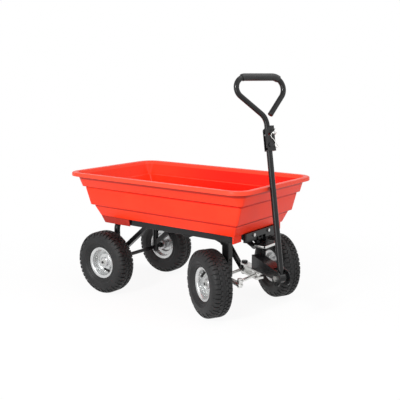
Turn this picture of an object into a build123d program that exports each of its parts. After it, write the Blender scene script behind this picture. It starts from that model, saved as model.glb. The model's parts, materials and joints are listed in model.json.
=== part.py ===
from build123d import *
import os
from math import atan2, cos, radians, sin, tan

# Garden dump cart: a moulded tub that tips back on a steel chassis with steered front wheels.
# Millimetres. +X is forward (the handle end), +Y is the cart's left, +Z is up, z = 0 is the ground.

# Wheels and their layout
tyre_radius = 130.0
tyre_width = 84.0
tread_depth = 4.0
tread_notches = 28
tread_notch_width = 6.5
tread_rib_half_width = 13.0
casing = 8.0
widest_drop = 33.0
sidewall_drop = 50.0
sidewall_tuck = 3.5
sidewall_start = 1.0
buttress_drop = 18.0
buttress_tuck = 1.5
shoulder_drop = 7.0
shoulder_tuck = 8.0
crown_drop = 1.0
crown_tuck = 22.0
bead_width = 10.0
bead_toe = 4.0
notch_overrun = 4.0
notch_slope = 11.0
rim_flange_radius = 65.4
rim_half_width = 28.5
bead_radius = 56.0
rim_sheet = 3.0
flange_sheet = 2.5
bead_seat_width = 7.0
well_depth = 2.0
disc_dish = 6.0
cup_rise = 8.0
cup_radius = 30.0
cup_slope = 7.0
hub_radius = 20.0
hub_half_length = 33.0
hub_chamfer = 2.0
valve_elbow_radius = 44.0
valve_elbow_height = 13.0
valve_lean = 45.0
valve_stem_radius = 4.0
valve_stem_length = 12.0
valve_tip_radius = 3.0
valve_tip_length = 8.0
rear_valve_angle = -50.0
front_valve_angle = 107.0
axle_radius = 8.0
collar_radius = 12.0
collar_length = 8.0
nut_radius = 13.0
nut_length = 11.0
wheelbase = 565.0
track = 392.0
kingpin_offset = 75.5
axle_middle_x = -58.0

# Fits
running_gap = 0.05
pivot_gap = 0.3
face_gap = 0.4
stack_gap = 0.6

# Tub
tub_length = 885.0
tub_width = 530.0
tub_bottom_z = 318.0
tub_wall = 4.0
tub_middle_x = 2.5
tub_set_forward = 0.045
lip_overhang = 20.0
lip_depth = 15.0
lip_sheet = 5.0
lip_round = 4.5
mouth_corner = 50.0
tier_1_corner = 16.0
tier_2_corner = 8.0
tier_3_corner = 6.0
corner_change = 5.0
tier_1_height = 62.0
tier_2_height = 76.0
tier_3_height = 48.0
tier_step = 9.0
tier_1_draft_x = 21.0
tier_1_draft_y = 28.0
tier_2_draft_x = 24.0
tier_2_draft_y = 6.0
tier_3_draft_x = 22.0
tier_3_draft_y = 19.0
skirt_depth = 28.0
skirt_clear = 1.5
skirt_draft_x = 12.8
skirt_draft_y = 6.0
skirt_length = 157.0
skirt_return = 26.0
tab_width = 52.0

# Chassis
rail_size = 25.0
rail_wall = 2.0
rail_y = 150.0
rail_front = 335.0
cross_rear = -110.0
cross_middle = 165.0
strap_x = 118.0
strap_width = 35.0
strap_thickness = 6.0
hoop_radius = 12.5
hoop_wall = 2.0
hoop_bend = 45.0
hinge_z = 300.0
hoop_foot = 18.0
brace_width = 20.0
brace_depth = 26.0
leg_size = 30.0
leg_wall = 2.5
leg_bottom_z = 146.0
leg_plate = 6.0
kingpin_radius = 7.0
kingpin_head_radius = 12.0
kingpin_head = 7.0
bar_radius = 6.0
bar_z = 153.0
boss_radius = 17.0
boss_bottom_z = 147.0
boss_top_z = 170.0
strut_width = 18.0
strut_depth = 24.0
strut_drop = 1.2

# Steering
steer_angle = -27.5
arm_length = 100.0
arm_width = 24.0
arm_thickness = 8.0
sleeve_radius = 16.0
sleeve_bottom_z = 108.0
joint_bolt_radius = 5.0
joint_head_radius = 9.0
joint_head = 5.0
joint_nut = 6.0
washer_radius = 8.0
eye_radius = 11.0
eye_thickness = 10.0
rod_radius = 4.5
rod_weld = 2.0
right_eye_z = 150.0
swivel_plate = 7.4
swivel_upper_plate = 6.4
swivel_width = 33.0
swivel_upper_length = 150.0
swivel_clear_radius = 11.0
swivel_web_start = 23.0
tongue_width = 45.0
tongue_wall = 4.0
tongue_height = 55.0
tongue_fall = 16.0
tongue_start = 94.0
tongue_web_end = 240.0
tongue_reach = 268.0
cheek_radius = 28.0
handle_pivot_z = 185.0
pivot_bolt_radius = 6.0
pivot_head_radius = 11.0
pivot_head = 6.0

# Handle and grip, measured along the shaft from the handle's pivot
handle_lean = 12.3
shaft_radius = 11.0
shaft_wall = 2.0
bush_radius = 16.0
shaft_length = 456.0
bracket_length = 91.0
bracket_base = 4.0
bracket_sheet = 3.0
bracket_margin = 2.0
bracket_chamfer = 14.0
grip_tube_radius = 10.0
fold_height = 22.0
fold_bolt_radius = 5.0
fold_head_radius = 9.0
fold_head = 5.0
hitch_hole_radius = 6.5
hitch_hole_height = 59.0
clip_height = 76.0
clip_tube_gap = 1.3
clip_web_gap = 1.2
clip_radius = 2.5
clip_loop = 9.0
clip_reach = 20.0
clip_stand_off = 26.0
loop_start = 119.5
loop_top = 268.0
loop_near_side = 178.0
loop_far_side = 133.0
loop_end_side = 22.0
loop_end_rise = 16.5
neck_bend = 55.0
near_bend = 38.5
far_bend = 43.5
grip_wall = 3.5
grip_round = 2.0
grip_near_wrap = 20.0
grip_far_wrap = 38.0
plug_length = 8.0
plug_round = 2.6

# Tipping latch
latch_pivot_x = 340.0
latch_pivot_z = 256.0
latch_ear_gap = 22.0
latch_ear_sheet = 4.0
latch_ear_radius = 12.0
latch_hub_radius = 10.0
latch_half_width = 20.0
latch_pin_head = 4.0
pedal_rise = 13.0
pedal_half_width = 50.0
pedal_start = 333.0
pedal_front = 403.5
pedal_sheet = 6.0
pedal_lip = 8.0
pedal_corner = 4.2
pedal_notch_half_width = 33.0
pedal_notch_front = 355.5
hook_height = 35.0
hook_half_width = 9.0
hook_thickness = 9.0
striker_x = 348.0
striker_z = 283.0
striker_radius = 4.0
striker_eye = 5.0
striker_ear = 4.0
striker_half_width = 14.0
tub_bar_back = 342.0
tub_bar_depth = 14.0
tub_bar_height = 34.0
tub_bar_notch = 12.0
tub_bar_notch_half_width = 33.0
tub_bar_half_length = 105.0
tub_bar_corner = 4.0
tub_bolt_y = 52.0
tub_bolt_drop = 11.0
tub_bolt_radius = 3.5
tub_bolt_head_radius = 7.0
tub_bolt_head = 5.0
hinge_strap_y = 55.0
hinge_strap_width = 24.0
hinge_strap_sheet = 4.5
hinge_flange_length = 70.0

# Places worked out from those sizes
rear_x = axle_middle_x - wheelbase / 2
front_x = axle_middle_x + wheelbase / 2
kingpin_y = track / 2 - kingpin_offset
rail_top_z = tub_bottom_z - pivot_gap
rail_bottom_z = rail_top_z - rail_size
rail_inner_y = rail_y - rail_size / 2
rail_outer_y = rail_y + rail_size / 2
hoop_y = rail_inner_y - hoop_radius - pivot_gap
knuckle_top_z = leg_bottom_z - stack_gap
left_eye_z = right_eye_z + eye_thickness + face_gap
swivel_lower_top = boss_bottom_z - stack_gap
swivel_upper_bottom = boss_top_z + stack_gap
tongue_bottom_z = swivel_upper_bottom + swivel_upper_plate
tongue_top_z = tongue_bottom_z + tongue_height
tongue_front_z = tongue_top_z - tongue_fall
rim_z = tub_bottom_z + tier_1_height + tier_2_height + tier_3_height

# Directions of the steered front end and of the leaning handle
steer = radians(steer_angle)
lean = radians(handle_lean)
up = Vector(0, 0, 1)
cart_ahead = Vector(1, 0, 0)
cart_left = Vector(0, 1, 0)
ahead = Vector(cos(steer), sin(steer), 0)
left = Vector(-sin(steer), cos(steer), 0)
shaft_up = up * cos(lean) - ahead * sin(lean)
shaft_front = ahead * cos(lean) + up * sin(lean)
swivel_axis = Vector(front_x, 0, 0)
handle_pivot = swivel_axis + ahead * tongue_reach + up * handle_pivot_z

os.makedirs("parts", exist_ok=True)


def save(piece, name):
    """Label a finished piece and write it as its own file."""
    piece.part.label = name
    export_step(piece.part, f"parts/{name}.step")


def steered_top(origin, z):
    """A level plane on a steered axis: x runs ahead, y to the left."""
    return Plane(origin=origin + up * z, x_dir=ahead, z_dir=up)


def steered_side(origin):
    """An upright plane on a steered axis: x runs ahead, y upwards."""
    return Plane(origin=origin, x_dir=ahead, z_dir=-left)


def across_shaft(along):
    """A plane square to the handle's shaft, so far along it: x runs to the left."""
    return Plane(origin=handle_pivot + shaft_up * along, x_dir=left, z_dir=shaft_up)


def grip_face(out):
    """A plane along the shaft that faces forward: x runs to the left, y up the shaft."""
    return Plane(origin=handle_pivot + shaft_front * out, x_dir=left, z_dir=shaft_front)


# Tub: three drafted tiers with a ledge between each, hollowed to one wall, under a turned-down lip
def tub_section(z, inset_x, inset_y, corner):
    """Length, width, corner radius and middle x of the tub's outside at one height."""
    length = tub_length - 2 * lip_overhang - 2 * inset_x
    width = tub_width - 2 * lip_overhang - 2 * inset_y
    middle = axle_middle_x + tub_middle_x + tub_set_forward * (rim_z - z)
    return z, length, width, corner, middle


ledge_1_z = rim_z - tier_1_height
ledge_2_z = ledge_1_z - tier_2_height
foot_1_x = tier_1_draft_x
foot_1_y = tier_1_draft_y
head_2_x = foot_1_x + tier_step
head_2_y = foot_1_y + tier_step
foot_2_x = head_2_x + tier_2_draft_x
foot_2_y = head_2_y + tier_2_draft_y
head_3_x = foot_2_x + tier_step
head_3_y = foot_2_y + tier_step
foot_3_x = head_3_x + tier_3_draft_x
foot_3_y = head_3_y + tier_3_draft_y
mouth = tub_section(rim_z, 0, 0, mouth_corner)
foot_1 = tub_section(ledge_1_z, foot_1_x, foot_1_y, tier_1_corner)
head_2 = tub_section(ledge_1_z, head_2_x, head_2_y, tier_2_corner + corner_change)
foot_2 = tub_section(ledge_2_z, foot_2_x, foot_2_y, tier_2_corner)
head_3 = tub_section(ledge_2_z, head_3_x, head_3_y, tier_3_corner + corner_change)
foot_3 = tub_section(tub_bottom_z, foot_3_x, foot_3_y, tier_3_corner)
tiers = [(foot_3, head_3), (foot_2, head_2), (foot_1, mouth)]
skirt_inner_y = rail_outer_y + skirt_clear
skirt_outer_y = skirt_inner_y + tub_wall
skirt_foot = tub_section(tub_bottom_z - skirt_depth, foot_3_x + skirt_draft_x, foot_3_y + skirt_draft_y,
                         tier_3_corner)
skirt_end_x = foot_3[4] - foot_3[1] / 2 + skirt_length
rail_end_x = axle_middle_x + rail_front

with BuildPart() as tub:
    for pair in tiers:
        for z, length, width, corner, middle in pair:
            with BuildSketch(Plane.XY.offset(z)):
                with Locations((middle, 0)):
                    RectangleRounded(length, width, corner)
        loft(ruled=True)
    with BuildSketch(Plane.XY.offset(rim_z - lip_depth)):
        with Locations((mouth[4], 0)):
            RectangleRounded(tub_length, tub_width, mouth_corner + lip_overhang)
            RectangleRounded(tub_length - 2 * lip_sheet, tub_width - 2 * lip_sheet,
                             mouth_corner + lip_overhang - lip_sheet, mode=Mode.SUBTRACT)
    extrude(amount=lip_depth)
    with BuildSketch(Plane.XY.offset(rim_z - lip_sheet)):
        with Locations((mouth[4], 0)):
            RectangleRounded(tub_length, tub_width, mouth_corner + lip_overhang)
    extrude(amount=lip_sheet)
    lip_edges = tub.faces().sort_by(Axis.Z)[-1].outer_wire().edges()
    fillet(lip_edges, radius=lip_round)
    for pair in tiers:
        for z, length, width, corner, middle in pair:
            with BuildSketch(Plane.XY.offset(z + tub_wall)):
                with Locations((middle, 0)):
                    RectangleRounded(length - 2 * tub_wall, width - 2 * tub_wall, corner - tub_wall)
        loft(ruled=True, mode=Mode.SUBTRACT)
save(tub, "tub")

# Skirts under the tub's floor: they run on from its rear corners and turn down at the front corners
tab_x = rail_end_x + 2 * skirt_clear
with BuildPart() as tub_skirts:
    for z, length, width, corner, middle in (foot_3, skirt_foot):
        with BuildSketch(Plane.XY.offset(z)):
            with Locations((middle, 0)):
                RectangleRounded(length, width, corner)
    loft(ruled=True)
    for z, length, width, corner, middle in (foot_3, skirt_foot):
        with BuildSketch(Plane.XY.offset(z)):
            with Locations((middle, 0)):
                RectangleRounded(length - 2 * tub_wall, width - 2 * tub_wall, corner - tub_wall)
    loft(ruled=True, mode=Mode.SUBTRACT)
    with BuildSketch(Plane.XY.offset(tub_bottom_z)):
        with Locations((skirt_end_x, 0)):
            Rectangle(tub_length, tub_width, align=(Align.MIN, Align.CENTER))
        Rectangle(2 * tub_length, foot_3[2] - 2 * skirt_return)
    extrude(amount=-skirt_depth, mode=Mode.SUBTRACT)
    with BuildSketch(Plane.XY.offset(tub_bottom_z)):
        for side, outer in ((1, Align.MAX), (-1, Align.MIN)):
            with Locations((tab_x, side * skirt_outer_y)):
                Rectangle(tub_wall, tab_width, align=(Align.MIN, outer))
    extrude(amount=-skirt_depth)
save(tub_skirts, "tub_skirts")

# Steel bar under the tub's front edge, its two bolts and the striker that the latch holds
bar_back_x = axle_middle_x + tub_bar_back
bar_front_x = bar_back_x + tub_bar_depth
bar_top_z = tub_bottom_z
bar_bottom_z = bar_top_z - tub_bar_height
bar_bolt_z = bar_top_z - tub_bolt_drop
bar_notch_z = bar_bottom_z + tub_bar_notch
with BuildPart() as tub_front_bar:
    with BuildSketch(Plane.XZ.offset(-tub_bar_half_length)):
        with Locations((bar_back_x, bar_bottom_z)):
            Rectangle(tub_bar_depth, tub_bar_height, align=(Align.MIN, Align.MIN))
    extrude(amount=2 * tub_bar_half_length)
    fillet(tub_front_bar.edges().filter_by(Axis.Z), radius=tub_bar_corner)
    with BuildSketch(Plane.XZ):
        with Locations((bar_back_x, bar_bottom_z)):
            Rectangle(tub_bar_depth, tub_bar_notch, align=(Align.MIN, Align.MIN))
    extrude(amount=tub_bar_notch_half_width, both=True, mode=Mode.SUBTRACT)
    with BuildSketch(Plane.YZ.offset(bar_back_x)):
        with Locations((tub_bolt_y, bar_bolt_z), (-tub_bolt_y, bar_bolt_z)):
            Circle(tub_bolt_radius + running_gap)
    extrude(amount=tub_bar_depth, mode=Mode.SUBTRACT)
save(tub_front_bar, "tub_front_bar")

with BuildPart() as tub_bar_bolts:
    with BuildSketch(Plane.YZ.offset(bar_front_x)):
        with Locations((tub_bolt_y, bar_bolt_z), (-tub_bolt_y, bar_bolt_z)):
            RegularPolygon(tub_bolt_head_radius, 6)
    extrude(amount=tub_bolt_head)
    with BuildSketch(Plane.YZ.offset(bar_back_x)):
        with Locations((tub_bolt_y, bar_bolt_z), (-tub_bolt_y, bar_bolt_z)):
            Circle(tub_bolt_radius)
    extrude(amount=tub_bar_depth)
save(tub_bar_bolts, "tub_bar_bolts")

striker_centre_x = axle_middle_x + striker_x
with BuildPart() as striker:
    with BuildSketch(Plane.XZ.offset(-striker_half_width)):
        with Locations((striker_centre_x, striker_z)):
            Circle(striker_radius)
    extrude(amount=2 * striker_half_width)
    for ear_y in (striker_half_width, striker_ear - striker_half_width):
        with BuildSketch(Plane.XZ.offset(-ear_y)):
            with Locations((striker_centre_x, striker_z)):
                Circle(striker_eye)
                Rectangle(2 * striker_eye, bar_notch_z - striker_z, align=(Align.CENTER, Align.MIN))
        extrude(amount=striker_ear)
save(striker, "striker")

# Hinge straps: each wraps the hoop's level tube and bolts flat against the tub's floor
strap_ring = hoop_radius + hinge_strap_sheet
with BuildPart() as hinge_straps:
    for side in (1, -1):
        with BuildSketch(Plane.XZ.offset(-side * hinge_strap_y)):
            with Locations((rear_x, hinge_z)):
                Circle(strap_ring)
            with Locations((rear_x, tub_bottom_z)):
                Rectangle(hinge_flange_length, hinge_strap_sheet, align=(Align.CENTER, Align.MAX))
                Rectangle(2 * hoop_radius, tub_bottom_z - hinge_z, align=(Align.CENTER, Align.MAX))
            with Locations((rear_x, hinge_z)):
                Circle(hoop_radius + running_gap, mode=Mode.SUBTRACT)
        extrude(amount=hinge_strap_width / 2, both=True)
save(hinge_straps, "hinge_straps")

# Chassis rails and the square tubes between them
for side, name in ((1, "side_rail_left"), (-1, "side_rail_right")):
    with BuildPart() as rail:
        with BuildSketch(Plane.YZ.offset(rear_x + hoop_radius)):
            with Locations((side * rail_y, rail_top_z - rail_size / 2)):
                RectangleRounded(rail_size, rail_size, rail_wall)
                Rectangle(rail_size - 2 * rail_wall, rail_size - 2 * rail_wall, mode=Mode.SUBTRACT)
        extrude(amount=rail_end_x - rear_x - hoop_radius)
    save(rail, name)

with BuildPart() as cross_members:
    with BuildSketch(Plane.XZ.offset(-rail_inner_y)):
        for cross_x in (axle_middle_x + cross_rear, axle_middle_x + cross_middle, front_x):
            with Locations((cross_x, rail_top_z - rail_size / 2)):
                RectangleRounded(rail_size, rail_size, rail_wall)
                Rectangle(rail_size - 2 * rail_wall, rail_size - 2 * rail_wall, mode=Mode.SUBTRACT)
    extrude(amount=2 * rail_inner_y)
save(cross_members, "cross_members")

with BuildPart() as belly_strap:
    with BuildSketch(Plane.XY.offset(rail_bottom_z - strap_thickness)):
        with Locations((axle_middle_x + strap_x, 0)):
            Rectangle(strap_width, 2 * rail_outer_y)
    extrude(amount=strap_thickness)
    fillet(belly_strap.edges().filter_by(Axis.Z), radius=strap_thickness)
save(belly_strap, "belly_strap")

# Rear hoop: one bent tube whose level top is the tub's hinge and whose feet hold the axle
hoop_bottom_z = tyre_radius - hoop_foot
with BuildPart() as rear_hoop:
    with BuildLine(Plane.YZ.offset(rear_x)) as hoop_line:
        FilletPolyline((-hoop_y, hoop_bottom_z), (-hoop_y, hinge_z), (hoop_y, hinge_z),
                       (hoop_y, hoop_bottom_z), radius=hoop_bend)
    with BuildSketch(Plane(origin=(rear_x, -hoop_y, hoop_bottom_z), z_dir=up)):
        Circle(hoop_radius)
        Circle(hoop_radius - hoop_wall, mode=Mode.SUBTRACT)
    sweep(path=hoop_line.line)
    with BuildSketch(Plane.XZ.offset(-hoop_y - hoop_radius)):
        with Locations((rear_x, tyre_radius)):
            Circle(axle_radius + running_gap)
    extrude(amount=2 * (hoop_y + hoop_radius), mode=Mode.SUBTRACT)
save(rear_hoop, "rear_hoop")

brace_foot_x = rear_x + hoop_radius
brace_foot_z = tyre_radius + hoop_radius
brace_head_x = axle_middle_x + cross_rear
with BuildPart() as rear_braces:
    for side in (1, -1):
        with BuildSketch(Plane.XZ.offset(-side * hoop_y)):
            with BuildLine():
                Polyline((brace_foot_x, brace_foot_z), (brace_foot_x, brace_foot_z + brace_depth),
                         (brace_head_x - brace_depth / 2, rail_bottom_z),
                         (brace_head_x + brace_depth / 2, rail_bottom_z), close=True)
            make_face()
        extrude(amount=brace_width / 2, both=True)
save(rear_braces, "rear_braces")

axle_end = track / 2 + hub_half_length + face_gap
collar_face_y = track / 2 - hub_half_length - face_gap
with BuildPart() as rear_axle:
    with BuildSketch(Plane.XZ.offset(-axle_end - nut_length)):
        with Locations((rear_x, tyre_radius)):
            Circle(axle_radius)
    extrude(amount=2 * (axle_end + nut_length))
    for collar_y in (collar_face_y, collar_length - collar_face_y):
        with BuildSketch(Plane.XZ.offset(-collar_y)):
            with Locations((rear_x, tyre_radius)):
                Circle(collar_radius)
        extrude(amount=collar_length)
save(rear_axle, "rear_axle")

with BuildPart() as rear_axle_nuts:
    for nut_y in (axle_end + nut_length, -axle_end):
        with BuildSketch(Plane.XZ.offset(-nut_y)):
            with Locations((rear_x, tyre_radius)):
                RegularPolygon(nut_radius, 6)
                Circle(axle_radius + running_gap, mode=Mode.SUBTRACT)
        extrude(amount=nut_length)
save(rear_axle_nuts, "rear_axle_nuts")

# Front legs, with the kingpin in each foot, and the bars that tie them to the steering boss
for side, name in ((1, "front_leg_left"), (-1, "front_leg_right")):
    with BuildPart() as leg:
        with BuildSketch(Plane.XY.offset(leg_bottom_z)):
            with Locations((front_x, side * kingpin_y)):
                RectangleRounded(leg_size, leg_size, leg_wall)
        extrude(amount=rail_bottom_z - leg_bottom_z)
        with BuildSketch(Plane.XY.offset(leg_bottom_z + leg_plate)):
            with Locations((front_x, side * kingpin_y)):
                Rectangle(leg_size - 2 * leg_wall, leg_size - 2 * leg_wall)
        extrude(amount=rail_bottom_z - leg_bottom_z, mode=Mode.SUBTRACT)
        with BuildSketch(Plane.XY.offset(leg_bottom_z)):
            with Locations((front_x, side * kingpin_y)):
                Circle(kingpin_radius + running_gap)
        extrude(amount=leg_plate, mode=Mode.SUBTRACT)
    save(leg, name)

kingpin_head_z = sleeve_bottom_z - face_gap
kingpin_top_z = leg_bottom_z + 2 * leg_plate
with BuildPart() as kingpins:
    for side in (1, -1):
        with BuildSketch(Plane.XY.offset(kingpin_head_z)):
            with Locations((front_x, side * kingpin_y)):
                Circle(kingpin_radius)
        extrude(amount=kingpin_top_z - kingpin_head_z)
        with BuildSketch(Plane.XY.offset(kingpin_head_z)):
            with Locations((front_x, side * kingpin_y)):
                RegularPolygon(kingpin_head_radius, 6)
        extrude(amount=-kingpin_head)
save(kingpins, "kingpins")

with BuildPart() as front_axle_bar:
    leg_face_y = kingpin_y - leg_size / 2
    for start_y in (leg_face_y, -boss_radius):
        with BuildSketch(Plane.XZ.offset(-start_y)):
            with Locations((front_x, bar_z)):
                Circle(bar_radius)
        extrude(amount=leg_face_y - boss_radius)
save(front_axle_bar, "front_axle_bar")

with BuildPart() as steering_boss:
    with BuildSketch(Plane.XY.offset(boss_bottom_z)):
        with Locations((front_x, 0)):
            Circle(boss_radius)
            Circle(kingpin_radius + running_gap, mode=Mode.SUBTRACT)
    extrude(amount=boss_top_z - boss_bottom_z)
save(steering_boss, "steering_boss")

strut_foot_x = front_x - boss_radius
strut_head_x = axle_middle_x + cross_middle
with BuildPart() as centre_strut:
    with BuildSketch(Plane.XZ):
        with BuildLine():
            Polyline((strut_foot_x, boss_bottom_z), (strut_foot_x, boss_top_z - strut_drop),
                     (strut_head_x + strut_depth / 2, rail_bottom_z),
                     (strut_head_x - strut_depth / 2, rail_bottom_z), close=True)
        make_face()
    extrude(amount=strut_width / 2, both=True)
save(centre_strut, "centre_strut")

# Latch bracket under the front cross member, its pin, and the lift-up pedal with its hook
pin_x = axle_middle_x + latch_pivot_x
bracket_back_x = front_x - rail_size / 2
bracket_front_x = front_x + rail_size
ear_outer_y = latch_ear_gap + latch_ear_sheet
with BuildPart() as latch_bracket:
    with BuildSketch(Plane.XZ):
        with BuildLine():
            Polyline((bracket_back_x, rail_bottom_z), (bracket_back_x, rail_bottom_z - latch_ear_radius),
                     (pin_x, latch_pivot_z - latch_ear_radius), (pin_x + latch_ear_radius, latch_pivot_z),
                     (bracket_front_x, rail_bottom_z), close=True)
        make_face()
        with Locations((pin_x, latch_pivot_z)):
            Circle(latch_ear_radius)
            Circle(pivot_bolt_radius + running_gap, mode=Mode.SUBTRACT)
    extrude(amount=ear_outer_y, both=True)
    with BuildSketch(Plane.XZ):
        with Locations((bracket_back_x, rail_bottom_z - latch_ear_sheet)):
            Rectangle(wheelbase, rail_bottom_z, align=(Align.MIN, Align.MAX))
    extrude(amount=latch_ear_gap, both=True, mode=Mode.SUBTRACT)
save(latch_bracket, "latch_bracket")

with BuildPart() as latch_pin:
    with BuildSketch(Plane.XZ):
        with Locations((pin_x, latch_pivot_z)):
            Circle(pivot_bolt_radius)
    extrude(amount=ear_outer_y, both=True)
    for head_y in (ear_outer_y + latch_pin_head, -ear_outer_y):
        with BuildSketch(Plane.XZ.offset(-head_y)):
            with Locations((pin_x, latch_pivot_z)):
                Circle(pivot_bolt_radius + latch_pin_head)
        extrude(amount=latch_pin_head)
save(latch_pin, "latch_pin")

hook_front_x = striker_centre_x - striker_eye - stack_gap
pedal_top_z = latch_pivot_z + pedal_rise
pedal_front_x = axle_middle_x + pedal_front
pedal_start_x = axle_middle_x + pedal_start
pedal_notch_x = axle_middle_x + pedal_notch_front
with BuildPart() as latch_lever:
    with BuildSketch(Plane.XZ):
        with Locations((pin_x, latch_pivot_z)):
            Circle(latch_hub_radius)
        with Locations((pin_x, pedal_top_z)):
            Rectangle(pedal_notch_x - pin_x + pedal_sheet, pedal_sheet, align=(Align.MIN, Align.MAX))
    extrude(amount=latch_half_width, both=True)
    with BuildSketch(Plane.XY.offset(pedal_top_z)):
        with Locations((pedal_start_x, 0)):
            Rectangle(pedal_front_x - pedal_start_x, 2 * pedal_half_width, align=(Align.MIN, Align.CENTER))
            Rectangle(pedal_notch_x - pedal_start_x, 2 * pedal_notch_half_width,
                      align=(Align.MIN, Align.CENTER), mode=Mode.SUBTRACT)
    extrude(amount=-pedal_sheet)
    with BuildSketch(Plane.XY.offset(pedal_top_z)):
        with Locations((pedal_front_x, 0)):
            Rectangle(pedal_sheet, 2 * pedal_half_width, align=(Align.MAX, Align.CENTER))
    extrude(amount=-pedal_lip)
    fillet(latch_lever.edges().filter_by(Axis.Z).group_by(Axis.X)[-1], radius=pedal_corner)
    with BuildSketch(Plane.XZ):
        with Locations((hook_front_x, latch_pivot_z)):
            Rectangle(hook_thickness, hook_height, align=(Align.MAX, Align.MIN))
    extrude(amount=hook_half_width, both=True)
    with BuildSketch(Plane.XZ):
        with Locations((pin_x, latch_pivot_z)):
            Circle(pivot_bolt_radius + running_gap)
    extrude(amount=latch_half_width, both=True, mode=Mode.SUBTRACT)
save(latch_lever, "latch_lever")

# Knuckles: kingpin sleeve, stub axle and steering arm welded into one piece on each side
stub_collar = kingpin_offset - hub_half_length - face_gap
stub_end = kingpin_offset + hub_half_length + face_gap + nut_length
for side, name, eye_z in ((1, "left", left_eye_z), (-1, "right", right_eye_z)):
    kingpin = Vector(front_x, side * kingpin_y, 0)
    outward = left * side
    arm_tip = kingpin + ahead * arm_length
    stub_plane = Plane(origin=kingpin + up * tyre_radius, x_dir=up, z_dir=outward)
    with BuildPart() as knuckle:
        with BuildSketch(steered_top(kingpin, sleeve_bottom_z)):
            Circle(sleeve_radius)
        extrude(amount=knuckle_top_z - sleeve_bottom_z)
        with BuildSketch(steered_top(kingpin, knuckle_top_z)):
            with Locations((arm_length / 2, 0)):
                Rectangle(arm_length, arm_width)
            with Locations((arm_length, 0)):
                Circle(arm_width / 2)
        extrude(amount=-arm_thickness)
        with BuildSketch(stub_plane):
            Circle(axle_radius)
        extrude(amount=stub_end)
        with BuildSketch(stub_plane.offset(stub_collar)):
            Circle(collar_radius)
        extrude(amount=-collar_length)
        with BuildSketch(steered_top(kingpin, sleeve_bottom_z)):
            Circle(kingpin_radius + running_gap)
        extrude(amount=knuckle_top_z - sleeve_bottom_z, mode=Mode.SUBTRACT)
        with BuildSketch(steered_top(arm_tip, knuckle_top_z)):
            Circle(joint_bolt_radius + running_gap)
        extrude(amount=-arm_thickness, mode=Mode.SUBTRACT)
    save(knuckle, f"knuckle_{name}")

    with BuildPart() as arm_bolt:
        with BuildSketch(steered_top(arm_tip, knuckle_top_z - arm_thickness)):
            RegularPolygon(joint_head_radius, 6)
        extrude(amount=-joint_head)
        with BuildSketch(steered_top(arm_tip, knuckle_top_z)):
            Circle(washer_radius)
        extrude(amount=eye_z - pivot_gap - knuckle_top_z)
        with BuildSketch(steered_top(arm_tip, knuckle_top_z - arm_thickness)):
            Circle(joint_bolt_radius)
        extrude(amount=eye_z + eye_thickness + pivot_gap - knuckle_top_z + arm_thickness)
        with BuildSketch(steered_top(arm_tip, eye_z + eye_thickness + pivot_gap)):
            RegularPolygon(joint_head_radius, 6)
        extrude(amount=joint_nut)
    save(arm_bolt, f"arm_bolt_{name}")

    with BuildPart() as stub_nut:
        with BuildSketch(stub_plane.offset(stub_end - nut_length)):
            RegularPolygon(nut_radius, 6)
            Circle(axle_radius + running_gap, mode=Mode.SUBTRACT)
        extrude(amount=nut_length)
    save(stub_nut, f"stub_nut_{name}")

    # Tie rod: an eye on the swivel's bolt, an eye on the arm's bolt, and a round rod between
    swivel_joint = swivel_axis + ahead * arm_length
    rod_start = swivel_joint + up * (eye_z + eye_thickness / 2)
    rod_plane = Plane(origin=rod_start, x_dir=up, z_dir=cart_left * side)
    with BuildPart() as tie_rod:
        for joint in (swivel_joint, arm_tip):
            with BuildSketch(steered_top(joint, eye_z)):
                Circle(eye_radius)
            extrude(amount=eye_thickness)
        with BuildSketch(rod_plane.offset(eye_radius - rod_weld)):
            Circle(rod_radius)
        extrude(amount=kingpin_y - 2 * (eye_radius - rod_weld))
        with BuildSketch(steered_top(swivel_joint, eye_z)):
            Circle(joint_bolt_radius + running_gap)
        extrude(amount=eye_thickness, mode=Mode.SUBTRACT)
        with BuildSketch(steered_top(arm_tip, eye_z)):
            Circle(joint_bolt_radius + pivot_gap)
        extrude(amount=eye_thickness, mode=Mode.SUBTRACT)
    save(tie_rod, f"tie_rod_{name}")

# Swivel: two plates that hold the boss between them, joined by a web ahead of it
swivel_bottom_z = swivel_lower_top - swivel_plate
swivel_lower_length = arm_length + swivel_width / 2
with BuildPart() as swivel_bracket:
    for plate_z, plate_thickness, plate_length in (
            (swivel_bottom_z, swivel_plate, swivel_lower_length),
            (swivel_upper_bottom, swivel_upper_plate, swivel_upper_length)):
        with BuildSketch(steered_top(swivel_axis, plate_z)):
            Circle(swivel_width / 2)
            with Locations((plate_length / 2, 0)):
                Rectangle(plate_length, swivel_width)
        extrude(amount=plate_thickness)
    with BuildSketch(steered_top(swivel_axis, swivel_upper_bottom)):
        with Locations((tongue_start, 0)):
            Rectangle(swivel_upper_length - tongue_start, tongue_width, align=(Align.MIN, Align.CENTER))
    extrude(amount=swivel_upper_plate)
    with BuildSketch(steered_top(swivel_axis, swivel_lower_top)):
        with Locations((swivel_web_start, 0)):
            Rectangle(swivel_plate, swivel_width, align=(Align.MIN, Align.CENTER))
    extrude(amount=swivel_upper_bottom - swivel_lower_top)
    with BuildSketch(steered_top(swivel_axis, swivel_bottom_z)):
        Circle(kingpin_radius + running_gap)
    extrude(amount=tongue_bottom_z - swivel_bottom_z, mode=Mode.SUBTRACT)
    with BuildSketch(steered_top(swivel_axis + ahead * arm_length, swivel_bottom_z)):
        Circle(joint_bolt_radius + running_gap)
    extrude(amount=swivel_plate, mode=Mode.SUBTRACT)
    with BuildSketch(steered_top(swivel_axis + ahead * arm_length, swivel_upper_bottom)):
        Circle(swivel_clear_radius)
    extrude(amount=swivel_upper_plate, mode=Mode.SUBTRACT)
save(swivel_bracket, "swivel_bracket")

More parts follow.
